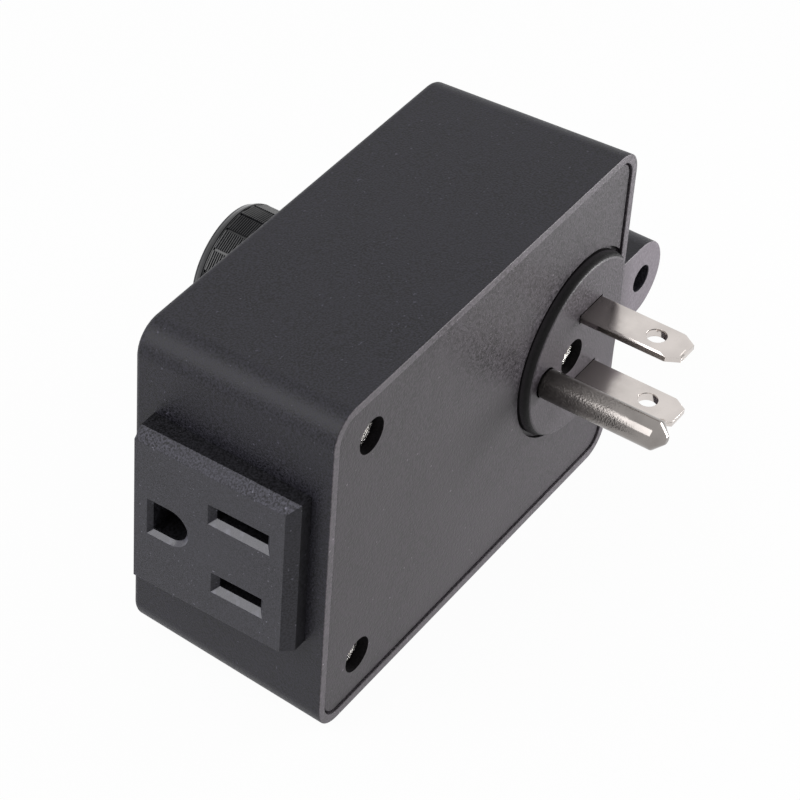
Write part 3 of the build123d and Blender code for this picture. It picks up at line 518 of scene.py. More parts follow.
# Colour, second tone, scale along each axis, roughness, metalness and relief by slot
INNER_FINISHES = {
    "insulator": ((0.02, 0.02, 0.02), (0.035, 0.035, 0.036), (900, 900, 900), 0.5, 0, 0.2),
    "contact_brass": ((0.62, 0.42, 0.15), (0.5, 0.33, 0.12), (2500, 120, 2500), 0.3, 1, 0.1),
    "can_metal": ((0.6, 0.59, 0.57), (0.45, 0.45, 0.44), (400, 3000, 400), 0.32, 1, 0.1),
    "phenolic": ((0.24, 0.11, 0.04), (0.32, 0.17, 0.07), (1500, 200, 900), 0.55, 0, 0.15),
    "tinned_copper": ((0.66, 0.65, 0.63), (0.5, 0.49, 0.48), (1200, 1200, 1200), 0.3, 1, 0.1),
    "board_laminate": ((0.012, 0.11, 0.035), (0.03, 0.17, 0.06), (260, 1, 900), 0.35, 0, 0.2),
    "fuse_glass": ((0.66, 0.7, 0.7), (0.8, 0.84, 0.84), (90, 500, 500), 0.08, 0, 0.02),
    "film_yellow": ((0.72, 0.46, 0.03), (0.62, 0.38, 0.02), (800, 800, 800), 0.4, 0, 0.15),
    "film_red": ((0.36, 0.03, 0.015), (0.28, 0.02, 0.01), (800, 800, 800), 0.32, 0, 0.1),
    "sink_aluminium": ((0.62, 0.63, 0.65), (0.5, 0.51, 0.53), (3000, 60, 3000), 0.38, 1, 0.2),
    "component_black": ((0.014, 0.014, 0.014), (0.03, 0.03, 0.03), (1500, 1500, 1500), 0.55, 0, 0.2),
    "core_ferrite": ((0.62, 0.5, 0.04), (0.5, 0.4, 0.03), (500, 500, 500), 0.45, 0, 0.15),
    "winding_copper": ((0.5, 0.15, 0.045), (0.34, 0.09, 0.03), (1800, 90, 1800), 0.25, 1, 0.5),
    "resistor_tan": ((0.55, 0.4, 0.2), (0.46, 0.32, 0.15), (600, 1500, 1500), 0.4, 0, 0.15),
    "diode_glass": ((0.42, 0.1, 0.02), (0.5, 0.2, 0.06), (900, 900, 300), 0.12, 0, 0.05),
    "wire_black": ((0.014, 0.014, 0.014), (0.025, 0.025, 0.025), (900, 900, 900), 0.5, 0, 0.1),
    "wire_white": ((0.72, 0.72, 0.69), (0.62, 0.61, 0.58), (700, 700, 700), 0.5, 0, 0.1),
    "wire_green": ((0.02, 0.22, 0.04), (0.015, 0.16, 0.03), (700, 700, 700), 0.5, 0, 0.1),
    "wire_red": ((0.42, 0.015, 0.012), (0.32, 0.01, 0.01), (700, 700, 700), 0.5, 0, 0.1),
}


def slot_of(node_name):
    """Material slot that the record gives a node."""
    for subpart in frame["record"]["subparts"]:
        if subpart["node"] == node_name:
            return subpart["material_slot"]
    raise RuntimeError(f"the record has no node named {node_name}")


# Mesh helpers
def new_object(name, data):
    """Put an object into the scene."""
    item = bpy.data.objects.new(name, data)
    bpy.context.scene.collection.objects.link(item)
    return item


def new_piece(name, mesh, material, body, replaced=()):
    """Put a mesh into the scene as a piece of the part."""
    piece = new_object(name, mesh)
    if not mesh.materials:
        mesh.materials.append(material)
    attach(piece, body)
    if replaced:
        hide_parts(*replaced)
    return piece


def refinish(node, material):
    """Give a CAD node another material in place of its own."""
    node.data.materials.clear()
    node.data.materials.append(material)


def repaint(piece, material, chosen):
    """Give another material to the faces that a test picks by centre and normal."""
    piece.data.materials.append(material)
    index = len(piece.data.materials) - 1
    for face in piece.data.polygons:
        if chosen(face.center, face.normal):
            face.material_index = index


def softened(node_name, piece_name, material, body, width, segments=2, cuts=(), rolled=None):
    """Take a node's exact shape over, cut it by planes and round its sharp edges.

    rolled is a test of an edge's middle and a width: the top edges that it picks are
    rounded that much wider.
    """
    mesh = frame["nodes"][node_name].data.copy()
    mesh.name = piece_name
    shape = bmesh.new()
    shape.from_mesh(mesh)
    bmesh.ops.remove_doubles(shape, verts=shape.verts, dist=WELD)
    bmesh.ops.dissolve_limit(shape, angle_limit=FLAT_ANGLE, verts=shape.verts, edges=shape.edges)
    for place, outward in cuts:
        everything = shape.verts[:] + shape.edges[:] + shape.faces[:]
        cut = bmesh.ops.bisect_plane(
            shape, geom=everything, plane_co=place, plane_no=outward, clear_outer=True
        )
        rim = [edge for edge in cut["geom_cut"] if isinstance(edge, bmesh.types.BMEdge)]
        bmesh.ops.holes_fill(shape, edges=rim)
    if rolled:
        chosen, roll_width = rolled
        edges = [edge for edge in shape.edges if turns_down(edge) and chosen(edge_middle(edge))]
        bmesh.ops.bevel(
            shape, geom=edges, offset=roll_width, segments=4, profile=0.5, affect="EDGES"
        )
    for face in shape.faces:
        face.smooth = True
    shape.to_mesh(mesh)
    shape.free()
    mesh.materials.clear()
    piece = new_piece(piece_name, mesh, material, body, [node_name])
    rounding = piece.modifiers.new("rounded edges", "BEVEL")
    rounding.limit_method = "ANGLE"
    rounding.angle_limit = EDGE_ANGLE
    rounding.width = width
    rounding.segments = segments
    rounding.use_clamp_overlap = True
    level = piece.modifiers.new("flat faces stay flat", "WEIGHTED_NORMAL")
    level.mode = "FACE_AREA"
    level.weight = 100
    level.keep_sharp = True
    return piece


def turns_down(edge):
    """Whether an edge lies between a face that looks along +Y and a steep one."""
    levels = sorted(face.normal.y for face in edge.link_faces)
    return len(levels) == 2 and levels[0] < 0.7 and levels[1] > 0.9


def edge_middle(edge):
    """Middle of an edge."""
    return (edge.verts[0].co + edge.verts[1].co) / 2


def finished_mesh(name, shape):
    """Mesh of a shape that needs no more work."""
    mesh = bpy.data.meshes.new(name)
    shape.to_mesh(mesh)
    shape.free()
    return mesh


def skinned_mesh(name, shape, loops):
    """Closed mesh over loops of points, of which the first and the last may be one point."""
    for lower, upper in zip(loops, loops[1:]):
        steps = max(len(lower), len(upper))
        for step in range(steps):
            following = (step + 1) % steps
            if len(lower) == 1:
                shape.faces.new((lower[0], upper[following], upper[step]))
            elif len(upper) == 1:
                shape.faces.new((lower[step], lower[following], upper[0]))
            else:
                shape.faces.new((lower[step], lower[following], upper[following], upper[step]))
    bmesh.ops.recalc_face_normals(shape, faces=shape.faces)
    return finished_mesh(name, shape)


def turned_mesh(name, rows, steps):
    """Closed mesh turned about Y from rows of radius and level, from pole to pole."""
    shape = bmesh.new()
    loops = []
    for radius, level in rows:
        angles = [tau * step / steps for step in range(steps)] if radius else [0]
        places = [(radius * cos(angle), level, radius * sin(angle)) for angle in angles]
        loops.append([shape.verts.new(place) for place in places])
    return skinned_mesh(name, shape, loops)


def smooth_under(mesh, degrees_limit):
    """Shade a mesh smooth, with hard edges where it turns more than a limit."""
    mesh.shade_smooth()
    mesh.set_sharp_from_angle(angle=radians(degrees_limit))


def rounded_box_mesh(name, size, round_width):
    """Box centred on the origin with rounded edges."""
    shape = bmesh.new()
    bmesh.ops.create_cube(shape, size=1.0)
    bmesh.ops.scale(shape, vec=size, verts=shape.verts)
    bmesh.ops.bevel(
        shape, geom=shape.edges[:], offset=round_width, segments=2, profile=0.5, affect="EDGES"
    )
    mesh = finished_mesh(name, shape)
    smooth_under(mesh, 35)
    return mesh


# Knob
def knob_rows(rings):
    """Rows of the knob from the pole of its front recess, over its side, to its bore's pole.

    Each row is a radius, a level and whether it lies on the panelled grip.
    """
    outer = knob_radius
    front, back = knob_low.y, knob_high.y
    side = front + BRIGHT_LENGTH
    recess = outer - CAP_MARGIN + HAIR
    edge = [(0, cap_high.y), (recess, cap_high.y), (recess, front + LIP), (recess + LIP, front)]
    edge += [(outer - BRIGHT_STEP - LIP, front), (outer - BRIGHT_STEP, front + LIP / 2)]
    crown = side - 3 * LIP
    for step in range(1, 6):
        share = step / 5
        bulge = 0.1 * MM * sin(pi * share)
        radius = outer - LIP - BRIGHT_STEP * (1 - share) + bulge
        edge.append((radius, front + LIP + (crown - front - LIP) * share))
    edge += [(outer - 2 * LIP, side - 2 * LIP), (outer - 2 * LIP, side - LIP)]
    edge += [(outer - LIP / 4, side - LIP / 4)]
    grip = [(outer, side + LIP / 4)]
    pitch = (back - side) / (rings + 1)
    for ring in range(1, rings + 1):
        level = side + ring * pitch
        grip += [(outer, level - RING_HALF), (outer - RING_DEPTH, level), (outer, level + RING_HALF)]
    grip += [(outer, back - LIP), (outer - LIP, back)]
    inner = outer - SKIRT_WALL
    under = front + KNOB_TOP
    hub_end = shaft_front + HUB_LENGTH
    bore_end = shaft_front - HAIR
    inside = [(inner, back), (inner, under), (HUB_RADIUS, under), (HUB_RADIUS, hub_end)]
    inside += [(BORE_RADIUS, hub_end), (BORE_RADIUS, bore_end), (0, bore_end)]
    return [(*row, rows is grip) for rows in (edge, grip, inside) for row in rows]


def panel_angles(panels):
    """Angles around the knob: each panel's flat between its two groove walls."""
    half = pi / panels
    local = [-half, -half + GROOVE_HALF_ANGLE * 0.8, -half + GROOVE_HALF_ANGLE]
    local += [-half / 2, 0, half / 2]
    local += [half - GROOVE_HALF_ANGLE, half - GROOVE_HALF_ANGLE * 0.8]
    return [tau * panel / panels + angle for panel in range(panels) for angle in local]


def knob_mesh(panels, rings):
    """Glossy knob with flat ribbed panels, grooves between them and a smooth bright edge."""
    half = pi / panels
    shape = bmesh.new()
    loops = []
    for radius, level, on_grip in knob_rows(rings):
        loop = []
        for angle in panel_angles(panels) if radius else [0]:
            local = (angle + half) % (2 * half) - half
            here = radius
            if on_grip:
                here = radius * cos(half) / cos(local)
                if half - abs(local) < GROOVE_HALF_ANGLE * 0.9:
                    here = min(here, knob_radius - GROOVE_DEPTH)
            place = (knob_centre.x + here * cos(angle), level, knob_centre.z + here * sin(angle))
            loop.append(shape.verts.new(place))
        loops.append(loop)
    mesh = skinned_mesh("ribbed_knob", shape, loops)
    smooth_under(mesh, 20)
    return mesh


# Screws
def screw_mesh(radius, length):
    """Pan-head screw along Y, its head towards +Y and its shank of a given length."""
    shoulder = 0.86 * SCREW_HEAD
    rows = [(0, SCREW_HEAD)]
    for step in range(1, 7):
        angle = radians(90 * step / 6)
        crown = shoulder + (SCREW_HEAD - shoulder) * cos(angle) ** 0.7
        rows.append((radius * sin(angle), crown))
    rows += [(radius, 0.1 * MM), (radius - 0.1 * MM, 0), (SCREW_SHANK_RADIUS, 0)]
    core = 0.78 * SCREW_SHANK_RADIUS
    for turn in range(int((length - 2 * MM) / THREAD_PITCH)):
        level = -0.6 * MM - turn * THREAD_PITCH
        rows += [(SCREW_SHANK_RADIUS, level), (core, level - THREAD_PITCH / 2)]
    rows += [(0.8 * SCREW_SHANK_RADIUS, -length + MM), (0, -length)]
    mesh = turned_mesh("case_screw", rows, 48)
    smooth_under(mesh, 40)
    return mesh


def cross_cutter(radius):
    """Tapered cross that cuts the driver's recess into a head of a given radius."""
    shape = bmesh.new()
    arm = 0.62 * radius
    half_width = 0.17 * radius
    top = SCREW_HEAD + 0.3 * MM
    bottom = SCREW_HEAD - 0.75 * SCREW_HEAD
    outline = (
        (-arm, top, half_width * 1.3),
        (arm, top, half_width * 1.3),
        (arm * 0.35, bottom, half_width * 0.7),
        (-arm * 0.35, bottom, half_width * 0.7),
    )
    for turn in (0, pi / 2):
        points = []
        for x, level, width in outline:
            for z in (-width, width):
                place = (x * cos(turn) - z * sin(turn), level, x * sin(turn) + z * cos(turn))
                points.append(shape.verts.new(place))
        a, b, c, d, e, f, g, h = points
        around = ((a, c, d, b), (c, e, f, d), (e, g, h, f), (g, a, b, h))
        for face in (*around, (a, g, e, c), (b, d, f, h)):
            shape.faces.new(face)
    bmesh.ops.recalc_face_normals(shape, faces=shape.faces)
    return finished_mesh("driver recess", shape)


def cut_away(mesh, cutter_mesh):
    """Cut one closed mesh out of another."""
    body = new_object("body to cut", mesh)
    cutter = new_object("cutter", cutter_mesh)
    cut = body.modifiers.new("cut", "BOOLEAN")
    cut.operation = "DIFFERENCE"
    cut.solver = "EXACT"
    cut.use_self = True
    cut.object = cutter
    depsgraph = bpy.context.evaluated_depsgraph_get()
    result = bpy.data.meshes.new_from_object(body.evaluated_get(depsgraph))
    for item in (body, cutter):
        bpy.data.objects.remove(item)
    return result


# Operators, one for each piece or group of like pieces
class BuildCase(bpy.types.Operator):
    """Build the front shell with its hanging ear"""

    bl_idname = "controller.case"
    bl_label = "Case"

    def execute(self, context):
        settings = context.scene.controller_case
        colour, grain = settings.cover_colour, settings.grain
        plastic = moulded_plastic("case plastic", settings.case_colour, grain)
        shell = softened("housing", "front_shell", plastic, "case", settings.edge_round, 3)
        # The rim's face and the ear's back get the cover's colour made twice as pale: painted light
        rim = self.rim_plastic(colour, grain * 1.3)
        # The rebate wall round the cover gets a colour paler than the case's: painted light over the
        # shade it lies in
        seam = moulded_plastic("seam painted light plastic", shade(colour, 1.1), grain)
        repaint(shell, rim, lambda place, normal: normal.y > 0.9 and place.y > rim_y - 0.2 * MM)
        repaint(shell, seam, lambda place, normal: abs(normal.y) < 0.5 and self.in_seam(place))
        return {"FINISHED"}

    def in_seam(self, place):
        """Whether a place lies near the rim and clear of the ear."""
        return place.y > rim_y - SEAM_DEPTH and place.x > cover_low.x - MM

    def rim_plastic(self, colour, grain):
        """Plastic of the rim with painted light, paler still out on the ear."""
        material = moulded_plastic("rim painted light plastic", shade(colour, 2.0), grain)
        tree = material.node_tree
        shader = shader_of(material)
        painted_tone = shader.inputs["Base Color"].links[0].from_socket
        ear_root = housing_low.x + EAR_REACH
        out = along_axis(tree, "X", ear_root - EAR_FADE, ear_root, 1, 0)
        clouds = noise(tree, stretched_place(tree), 1500.0, 3.0)
        # Painted light on the ear, paler still, in cloudy patches
        pale = mixed(tree, clouds, shade(colour, 2.4), shade(colour, 4.6))
        tree.links.new(mixed(tree, out, painted_tone, pale), shader.inputs["Base Color"])
        return material


class BuildBackCover(bpy.types.Operator):
    """Build the back cover with its round boss"""

    bl_idname = "controller.back_cover"
    bl_label = "Back cover"

    def execute(self, context):
        settings = context.scene.controller_case
        colour, grain, edge = settings.cover_colour, settings.grain, settings.edge_round
        coarse = grain * 1.35
        plastic = moulded_plastic("cover plastic", colour, coarse)
        rolled = (self.beside_boss, BOSS_ROLL)
        cover = softened("back_cover", "rear_cover", plastic, "case", edge, rolled=rolled)
        # The boss's face gets the cover's colour made paler: painted light
        pale = shade(colour, 1.35)
        face = moulded_plastic("boss face painted light plastic", pale, coarse)
        top = cover_high.y - 0.1 * MM
        repaint(cover, face, lambda place, normal: normal.y > 0.9 and place.y > top)
        wall = self.boss_wall_plastic(colour, grain)
        repaint(cover, wall, lambda place, normal: normal.y < 0.8 and self.beside_boss(place))
        # The groove round the boss and the walls of bores, slots and seam get a near black colour:
        # painted shade in these hollows
        groove = moulded_plastic("groove painted shade plastic", shade(colour, 0.12), grain)
        repaint(cover, groove, self.is_hollow)
        return {"FINISHED"}

    def is_hollow(self, place, normal):
        """Whether a face lies in the groove, or is a wall of a bore, a slot or the seam."""
        return self.in_groove(place) or (abs(normal.y) < 0.5 and self.inside(place))

    def boss_wall_plastic(self, colour, grain):
        """Plastic of the boss's wall with painted shade: paler at its foot and painted dark below
        its top edge.
        """
        material = moulded_plastic("boss wall painted shade plastic", colour, grain)
        tree = material.node_tree
        shader = shader_of(material)
        # Painted shade: darker towards the top of the wall
        dark = along_axis(tree, "Y", cover_level + 0.1 * MM, cover_level + 0.7 * MM, 0, 1)
        tone = mixed(tree, dark, shade(colour, 0.75), shade(colour, 0.08))
        tree.links.new(tone, shader.inputs["Base Color"])
        return material

    def beside_boss(self, place):
        """Whether a place lies on the boss's wall."""
        out = (Vector((place.x, place.z)) - BOSS_CENTRE).length
        return place.y > cover_level + HAIR and out > BOSS_RADIUS - BOSS_WALL_REACH

    def inside(self, place):
        """Whether a place lies in a bore, a slot or the seam."""
        bored = place.x > cover_low.x + MM and not self.beside_boss(place)
        return place.y < cover_level or bored

    def in_groove(self, place):
        """Whether a place lies in the groove round the boss."""
        out = (Vector((place.x, place.z)) - BOSS_CENTRE).length
        near = abs(out - BOSS_RADIUS) < BOSS_WALL_REACH
        return near and cover_level - MM < place.y < cover_level - HAIR


class BuildOutlet(bpy.types.Operator):
    """Build the outlet block on the end wall"""

    bl_idname = "controller.outlet"
    bl_label = "Outlet"

    def execute(self, context):
        colour = context.scene.controller_outlet.outlet_colour
        grain = context.scene.controller_case.grain
        edge = context.scene.controller_case.edge_round

        face = moulded_plastic("outlet plastic", colour, grain * 0.7)
        block = softened("outlet_face", "outlet_block", face, "case", edge * 0.7)
        low, high = corners("outlet_face")
        # The bevel along the block's top gets a coarser grain and a colour paler than the face:
        # painted light on the top
        bevel = moulded_plastic("outlet bevel painted light plastic", shade(colour, 1.4), grain)
        top = high.z - BEVEL_BAND
        repaint(block, bevel, lambda place, normal: 0.3 < normal.z < 0.9 and place.z > top)
        # The slots' lead-ins are smooth, and get a colour twice as pale: painted light where they
        # face upwards
        smooth = gloss_plastic("slot lead-in painted light plastic", shade(colour, 2.05), 0.24)
        # Inside the slots a near black colour: painted shade in the openings
        dark = moulded_plastic("contact chamber painted shade plastic", shade(colour, 0.12), grain)
        # The block's side wall and its top walls get a darker colour: painted shade
        shaded = moulded_plastic("outlet side painted shade plastic", shade(colour, 0.35), grain)
        # The bevel on the block's side towards +Y gets a darker colour: painted shade
        slanted = moulded_plastic("outlet slant painted shade plastic", shade(colour, 0.72), grain)

        def in_slots(place):
            inside_z = low.z + SLOT_INSET < place.z < high.z - SLOT_INSET
            return inside_z and low.y + SLOT_INSET < place.y < high.y - SLOT_INSET

        def is_lead_in(place, normal):
            return in_slots(place) and normal.z > 0.1 and normal.x > 0.3

        repaint(block, shaded, lambda place, normal: normal.y > 0.9)
        repaint(block, slanted, lambda place, normal: 0.3 < normal.y < 0.9)
        repaint(block, shaded, lambda place, normal: normal.z > 0.9 and not in_slots(place))
        repaint(block, dark, lambda place, normal: in_slots(place) and abs(normal.x) < 0.3)
        repaint(block, smooth, is_lead_in)
        # The body behind the slots gets the same painted shade
        refinish(frame["nodes"]["outlet_body"], dark)
        return {"FINISHED"}


class BuildBlades(bpy.types.Operator):
    """Build the two blades of the plug"""

    bl_idname = "controller.blades"
    bl_label = "Blades"

    def execute(self, context):
        settings = context.scene.controller_plug
        # The blades' roots get painted shade
        root = (cover_high.y, BLADE_ROOT_SHADE)
        plate = plated_metal("blade plate", settings.plating_colour, 0.15, (300, 5200, 300), root)
        for name in ("line_blade", "neutral_blade"):
            cuts = self.coined(*corners(name))
            prong = name.replace("_blade", "_prong")
            softened(name, prong, plate, "case", settings.blade_edge, cuts=cuts)
        return {"FINISHED"}

    def coined(self, low, high):
        """Planes that press the blade's point thinner along its end and its cut corners."""
        cuts = []
        middle = (low + high) / 2
        for side in (-1, 1):
            z = middle.z + side * (high.z - low.z) / 2
            end = Vector((middle.x, high.y - COIN_REACH, z))
            cuts.append((end, Vector((0, COIN_SLOPE, side))))
            for across in (-1, 1):
                corner = Vector((middle.x + across * BLADE_HALF_WIDTH, high.y - CORNER_LENGTH, z))
                slant = Vector((across * CORNER_LENGTH, CORNER_WIDTH, 0)).normalized()
                cuts.append((corner - slant * COIN_REACH, slant * COIN_SLOPE + Vector((0, 0, side))))
        return cuts


class BuildGroundPin(bpy.types.Operator):
    """Build the round ground pin of the plug"""

    bl_idname = "controller.ground_pin"
    bl_label = "Ground pin"

    def execute(self, context):
        settings = context.scene.controller_plug
        # The pin's plate is a darker copy of the blades' plate: painted shade
        plate = pin_metal("pin plate with painted shade", shade(settings.plating_colour, 0.42))
        flange = (pin_high.x - pin_low.x) / 2
        radius = flange - PIN_FLANGE
        neck = radius - PIN_NECK
        root = cover_high.y + PIN_NECK
        under_cover = root - PIN_NECK_LENGTH
        flange_end = under_cover - PIN_FLANGE_THICKNESS
        rows = self.nose_rows(radius)
        rows += [(radius, root), (neck, root), (neck, under_cover), (flange, under_cover)]
        rows += [(flange, flange_end), (PIN_SHANK_RADIUS, flange_end)]
        rows += [(PIN_SHANK_RADIUS, pin_low.y), (0, pin_low.y)]
        mesh = turned_mesh("ground_pin_turned", rows, 64)
        centre = (pin_low + pin_high) / 2
        mesh.transform(Matrix.Translation((centre.x, 0, centre.z)))
        smooth_under(mesh, 35)
        new_piece("ground_prong", mesh, plate, "case", ["ground_pin"])
        return {"FINISHED"}

    def nose_rows(self, radius):
        """Rows of the chamfered nose, with both edges of the chamfer rounded."""
        tip = pin_high.y - NOSE_ROUND * (1 - cos(NOSE_HALF_TURN))
        rows = [(0, pin_high.y)]
        for turn, out, back in ((0, NOSE_CUT, 0), (2 * NOSE_HALF_TURN, 0, NOSE_CUT)):
            middle = turn + NOSE_HALF_TURN
            for step in range(5):
                angle = turn + NOSE_HALF_TURN * step / 2
                across = radius - out - NOSE_ROUND * (sin(middle) - sin(angle))
                rows.append((across, tip - back - NOSE_ROUND * (cos(middle) - cos(angle))))
        return rows


class BuildScrews(bpy.types.Operator):
    """Build the cross-head screws of the cover and the plug"""

    bl_idname = "controller.screws"
    bl_label = "Screws"

    def execute(self, context):
        steel = self.glittering_steel((0.9, 0.87, 0.84))
        size = plug_screw_high - plug_screw_low
        radius = size.x / 2
        mesh = screw_mesh(radius, size.y - SCREW_HEAD)
        carved = cut_away(mesh, cross_cutter(radius))
        smooth_under(carved, 40)
        low, high = corners("cover_screws")
        screw_x = (low.x + high.x) / 2
        plug = plug_screw_centre
        for name, node, x, y, z, turn in (
            ("plug_cross_screw", "plug_screw", plug.x, plug_screw_high.y, plug.z, 20),
            ("lower_cover_screw", "cover_screws", screw_x, high.y, low.z + radius, 35),
            ("upper_cover_screw", "cover_screws", screw_x, high.y, high.z - radius, 70),
        ):
            screw = carved.copy()
            screw.name = name
            screw.transform(Matrix.Rotation(radians(turn), 4, "Y"))
            screw.transform(Matrix.Translation((x, y - SCREW_HEAD, z)))
            new_piece(name, screw, steel, "case", [node])
        return {"FINISHED"}

    def glittering_steel(self, colour):
        """Zinc plate pitted by tumbling, so that it glitters."""
        material = plated_metal("screw steel", colour, 0.2, (1500, 1500, 1500))
        tree = material.node_tree
        shader = shader_of(material)
        pits = noise(tree, stretched_place(tree), 2600.0, 1.0)
        tree.links.new(bumped(tree, pits, 1.0, 0.5 * MM), shader.inputs["Normal"])
        return material


class BuildKnob(bpy.types.Operator):
    """Build the glossy speed knob with its ribbed panels"""

    bl_idname = "controller.knob"
    bl_label = "Knob"

    def execute(self, context):
        settings = context.scene.controller_knob
        gloss = gloss_plastic("knob gloss", settings.knob_colour, 0.1)
        mesh = knob_mesh(settings.panels, settings.rings)
        new_piece("speed_knob", mesh, gloss, "knob", ["knob"])
        return {"FINISHED"}


class BuildKnobCap(bpy.types.Operator):
    """Build the spun disc in the knob's front with its pointer"""

    bl_idname = "controller.knob_cap"
    bl_label = "Knob cap"

    def execute(self, context):
        settings = context.scene.controller_knob
        disc = spun_metal("spun cap", (0.2, 0.2, 0.21))
        softened("knob_cap", "spun_disc", disc, "knob", 0.08 * MM)
        ink = printed_ink("pointer ink", settings.print_colour)
        size = (POINTER_LENGTH, POINTER_INK, POINTER_WIDTH)
        mesh = rounded_box_mesh("pointer_fill", size, 0.06 * MM)
        ink_level = cap_low.y + POINTER_GROOVE - POINTER_INK / 2
        centre = (cap_low.x + CAP_MARGIN + POINTER_MIDDLE, ink_level, knob_centre.z)
        mesh.transform(Matrix.Translation(centre))
        new_piece("pointer_line", mesh, ink, "knob")
        return {"FINISHED"}


class BuildDial(bpy.types.Operator):
    """Print the plain scale around the knob, with numbers from 0 to 10"""

    bl_idname = "controller.dial"
    bl_label = "Dial print"

    def execute(self, context):
        ink = printed_ink("dial ink", context.scene.controller_knob.print_colour)
        for mark in range(DIAL_MARKS):
            # zero is at the lowest turn, fully anticlockwise, and the middle mark points at the ear
            angle = pi + DIAL_SWEEP * (mark / (DIAL_MARKS - 1) - 0.5)
            self.print_tick(mark, angle, ink)
            self.print_number(mark, angle, ink)
        return {"FINISHED"}

    def print_place(self, angle, distance):
        """Middle of a print at an angle and a distance from the knob's side."""
        place = knob_centre + Vector((cos(angle), 0, -sin(angle))) * (knob_radius + distance)
        place.y = front_y - PRINT_THICKNESS / 2
        return place

    def print_tick(self, mark, angle, ink):
        """Short line that points at the knob's axis, longer at every fifth mark."""
        length = LONG_TICK if mark % 5 == 0 else SHORT_TICK
        mesh = rounded_box_mesh("tick", (length, PRINT_THICKNESS, TICK_WIDTH), 0.012 * MM)
        mesh.transform(Matrix.Rotation(angle, 4, "Y"))
        mesh.transform(Matrix.Translation(self.print_place(angle, TICK_DISTANCE + length / 2)))
        new_piece(f"dial_tick_{mark}", mesh, ink, "case")

    def print_number(self, mark, angle, ink):
        """Number that stands upright when the ear is at the top."""
        name = f"dial_number_{mark}"
        text = bpy.data.curves.new(name, "FONT")
        text.body = str(mark)
        text.size = NUMBER_SIZE
        text.extrude = PRINT_THICKNESS / 2
        text.align_x = "CENTER"
        text.align_y = "CENTER"
        text.materials.append(ink)
        number = new_object(name, text)
        upright = Matrix(((0, -1, 0), (0, 0, -1), (1, 0, 0))).to_4x4()
        place = Matrix.Translation(self.print_place(angle, NUMBER_DISTANCE))
        number.matrix_world = place @ upright
        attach(number, "case")


class FinishInnerParts(bpy.types.Operator):
    """Give the parts inside the case their finishes"""

    bl_idname = "controller.inner_parts"
    bl_label = "Inner parts"

    def execute(self, context):
        finishes = {
            slot: inner_material(slot.replace("_", " "), *values)
            for slot, values in INNER_FINISHES.items()
        }
        finishes["screw_steel"] = plated_metal(
            "inner screw steel", (0.62, 0.6, 0.56), 0.3, (1500, 1500, 1500)
        )
        for name, node in frame["nodes"].items():
            slot = slot_of(name)
            if slot in finishes:
                refinish(node, finishes[slot])
        return {"FINISHED"}


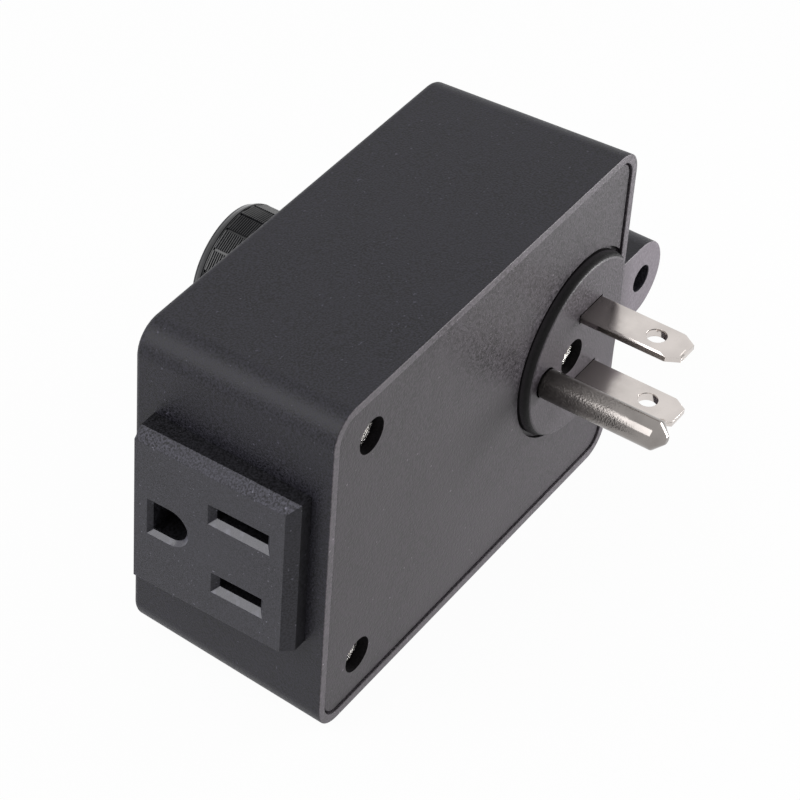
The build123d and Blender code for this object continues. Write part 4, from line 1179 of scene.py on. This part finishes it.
class BuildStage(bpy.types.Operator):
    """Set the pale floor, the soft lamps and the camera"""

    bl_idname = "controller.stage"
    bl_label = "Studio"

    def execute(self, context):
        settings = context.scene.controller_studio
        self.lay_floor(settings.floor_colour)
        self.light_world(context)
        self.hang_lamp("high lamp", *HIGH_LAMP, settings.high_power)
        self.hang_lamp("low lamp", *LOW_LAMP, settings.low_power)
        self.set_camera(context)
        context.scene.view_settings.view_transform = "Standard"
        return {"FINISHED"}

    def seen_share(self, tree):
        """One for camera, glossy and transmission rays, which see the white background."""
        path = tree.nodes.new("ShaderNodeLightPath")
        total = path.outputs["Is Camera Ray"]
        for name in ("Is Glossy Ray", "Is Transmission Ray"):
            add = add_node(tree, "ShaderNodeMath", operation="ADD", use_clamp=True)
            tree.links.new(total, add.inputs[0])
            tree.links.new(path.outputs[name], add.inputs[1])
            total = add.outputs[0]
        return total

    def blend_shaders(self, tree, share, first, second, output):
        """Lead two shaders to an output, mixed by a share."""
        blend = tree.nodes.new("ShaderNodeMixShader")
        for index, socket in enumerate((share, first.outputs[0], second.outputs[0])):
            tree.links.new(socket, blend.inputs[index])
        tree.links.new(blend.outputs[0], output.inputs["Surface"])

    def lay_floor(self, colour):
        """Large floor whose white keeps a faint shadow of the part."""
        shape = bmesh.new()
        bmesh.ops.create_grid(shape, x_segments=8, y_segments=8, size=FLOOR_HALF_SIZE)
        mesh = finished_mesh("studio floor", shape)
        floor = new_object("studio_floor", mesh)
        floor.location = (0, 0, cad_box[0][2] - FLOOR_GAP)
        material, tree, shader = new_material("floor paint")
        shader.inputs["Base Color"].default_value = (*colour, 1)
        shader.inputs["Roughness"].default_value = 0.9
        white = add_node(tree, "ShaderNodeEmission", color=WHITE, strength=1.0)
        share = add_node(tree, "ShaderNodeMath", operation="MULTIPLY")
        share.inputs[1].default_value = FLOOR_WHITE
        tree.links.new(self.seen_share(tree), share.inputs[0])
        output = tree.nodes["Material Output"]
        self.blend_shaders(tree, share.outputs[0], shader, white, output)
        mesh.materials.append(material)

    def light_world(self, context):
        """Even grey light all round, with a white background for what is seen."""
        world = bpy.data.worlds.new("studio")
        world.use_nodes = True
        tree = world.node_tree
        light = tree.nodes["Background"]
        light.inputs["Color"].default_value = WORLD_GREY
        white = add_node(tree, "ShaderNodeBackground", color=WHITE, strength=1.0)
        self.blend_shaders(tree, self.seen_share(tree), light, white, tree.nodes["World Output"])
        context.scene.world = world

    def hang_lamp(self, name, place, size, power):
        """Soft square lamp turned to the part."""
        lamp = bpy.data.lights.new(name, "AREA")
        lamp.shape = "SQUARE"
        lamp.size = size
        lamp.energy = power
        holder = new_object(name, lamp)
        holder.location = place
        aim = LAMP_AIM - Vector(place)
        holder.rotation_euler = aim.to_track_quat("-Z", "Y").to_euler()
        holder.visible_camera = False

    def set_camera(self, context):
        """Long lens at the photograph's angle."""
        camera = bpy.data.cameras.new("camera")
        camera.lens = CAMERA_LENS
        camera.sensor_width = 36
        camera.shift_y = CAMERA_SHIFT_Y
        camera.clip_start = 0.01
        holder = new_object("camera", camera)
        up = CAMERA_RIGHT.cross(CAMERA_FORWARD)
        turn = Matrix((CAMERA_RIGHT, up, -CAMERA_FORWARD)).transposed().to_4x4()
        holder.matrix_world = Matrix.Translation(CAMERA_PLACE) @ turn
        context.scene.camera = holder


SETTINGS = (
    ("controller_case", CaseSettings, "Case"),
    ("controller_outlet", OutletSettings, "Outlet"),
    ("controller_plug", PlugSettings, "Plug"),
    ("controller_knob", KnobSettings, "Knob"),
    ("controller_studio", StudioSettings, "Studio"),
)
OPERATORS = (
    BuildCase,
    BuildBackCover,
    BuildOutlet,
    BuildBlades,
    BuildGroundPin,
    BuildScrews,
    BuildKnob,
    BuildKnobCap,
    BuildDial,
    FinishInnerParts,
    BuildStage,
)


class ControllerPanel(bpy.types.Panel):
    """Sidebar panel with the sizes, colours and build steps of the controller"""

    bl_idname = "VIEW3D_PT_controller"
    bl_label = "Fan speed controller"
    bl_space_type = "VIEW_3D"
    bl_region_type = "UI"
    bl_category = "Controller"

    def draw(self, context):
        for attribute, group, label in SETTINGS:
            box = self.layout.box()
            box.label(text=label)
            for key in group.__annotations__:
                box.prop(getattr(context.scene, attribute), key)
        column = self.layout.column(align=True)
        for operator in OPERATORS:
            column.operator(operator.bl_idname)


def register():
    """Register the settings, the operators and the panel."""
    for attribute, group, _ in SETTINGS:
        bpy.utils.register_class(group)
        setattr(bpy.types.Scene, attribute, PointerProperty(type=group))
    for operator in OPERATORS:
        bpy.utils.register_class(operator)
    bpy.utils.register_class(ControllerPanel)


def unregister():
    """Take them out again."""
    bpy.utils.unregister_class(ControllerPanel)
    for operator in reversed(OPERATORS):
        bpy.utils.unregister_class(operator)
    for attribute, group, _ in reversed(SETTINGS):
        delattr(bpy.types.Scene, attribute)
        bpy.utils.unregister_class(group)


def main():
    """Build the whole controller."""
    register()
    bpy.ops.controller.case()
    bpy.ops.controller.back_cover()
    bpy.ops.controller.outlet()
    bpy.ops.controller.blades()
    bpy.ops.controller.ground_pin()
    bpy.ops.controller.screws()
    bpy.ops.controller.knob()
    bpy.ops.controller.knob_cap()
    bpy.ops.controller.dial()
    bpy.ops.controller.inner_parts()
    bpy.ops.controller.stage()


if __name__ == "__main__":
    main()
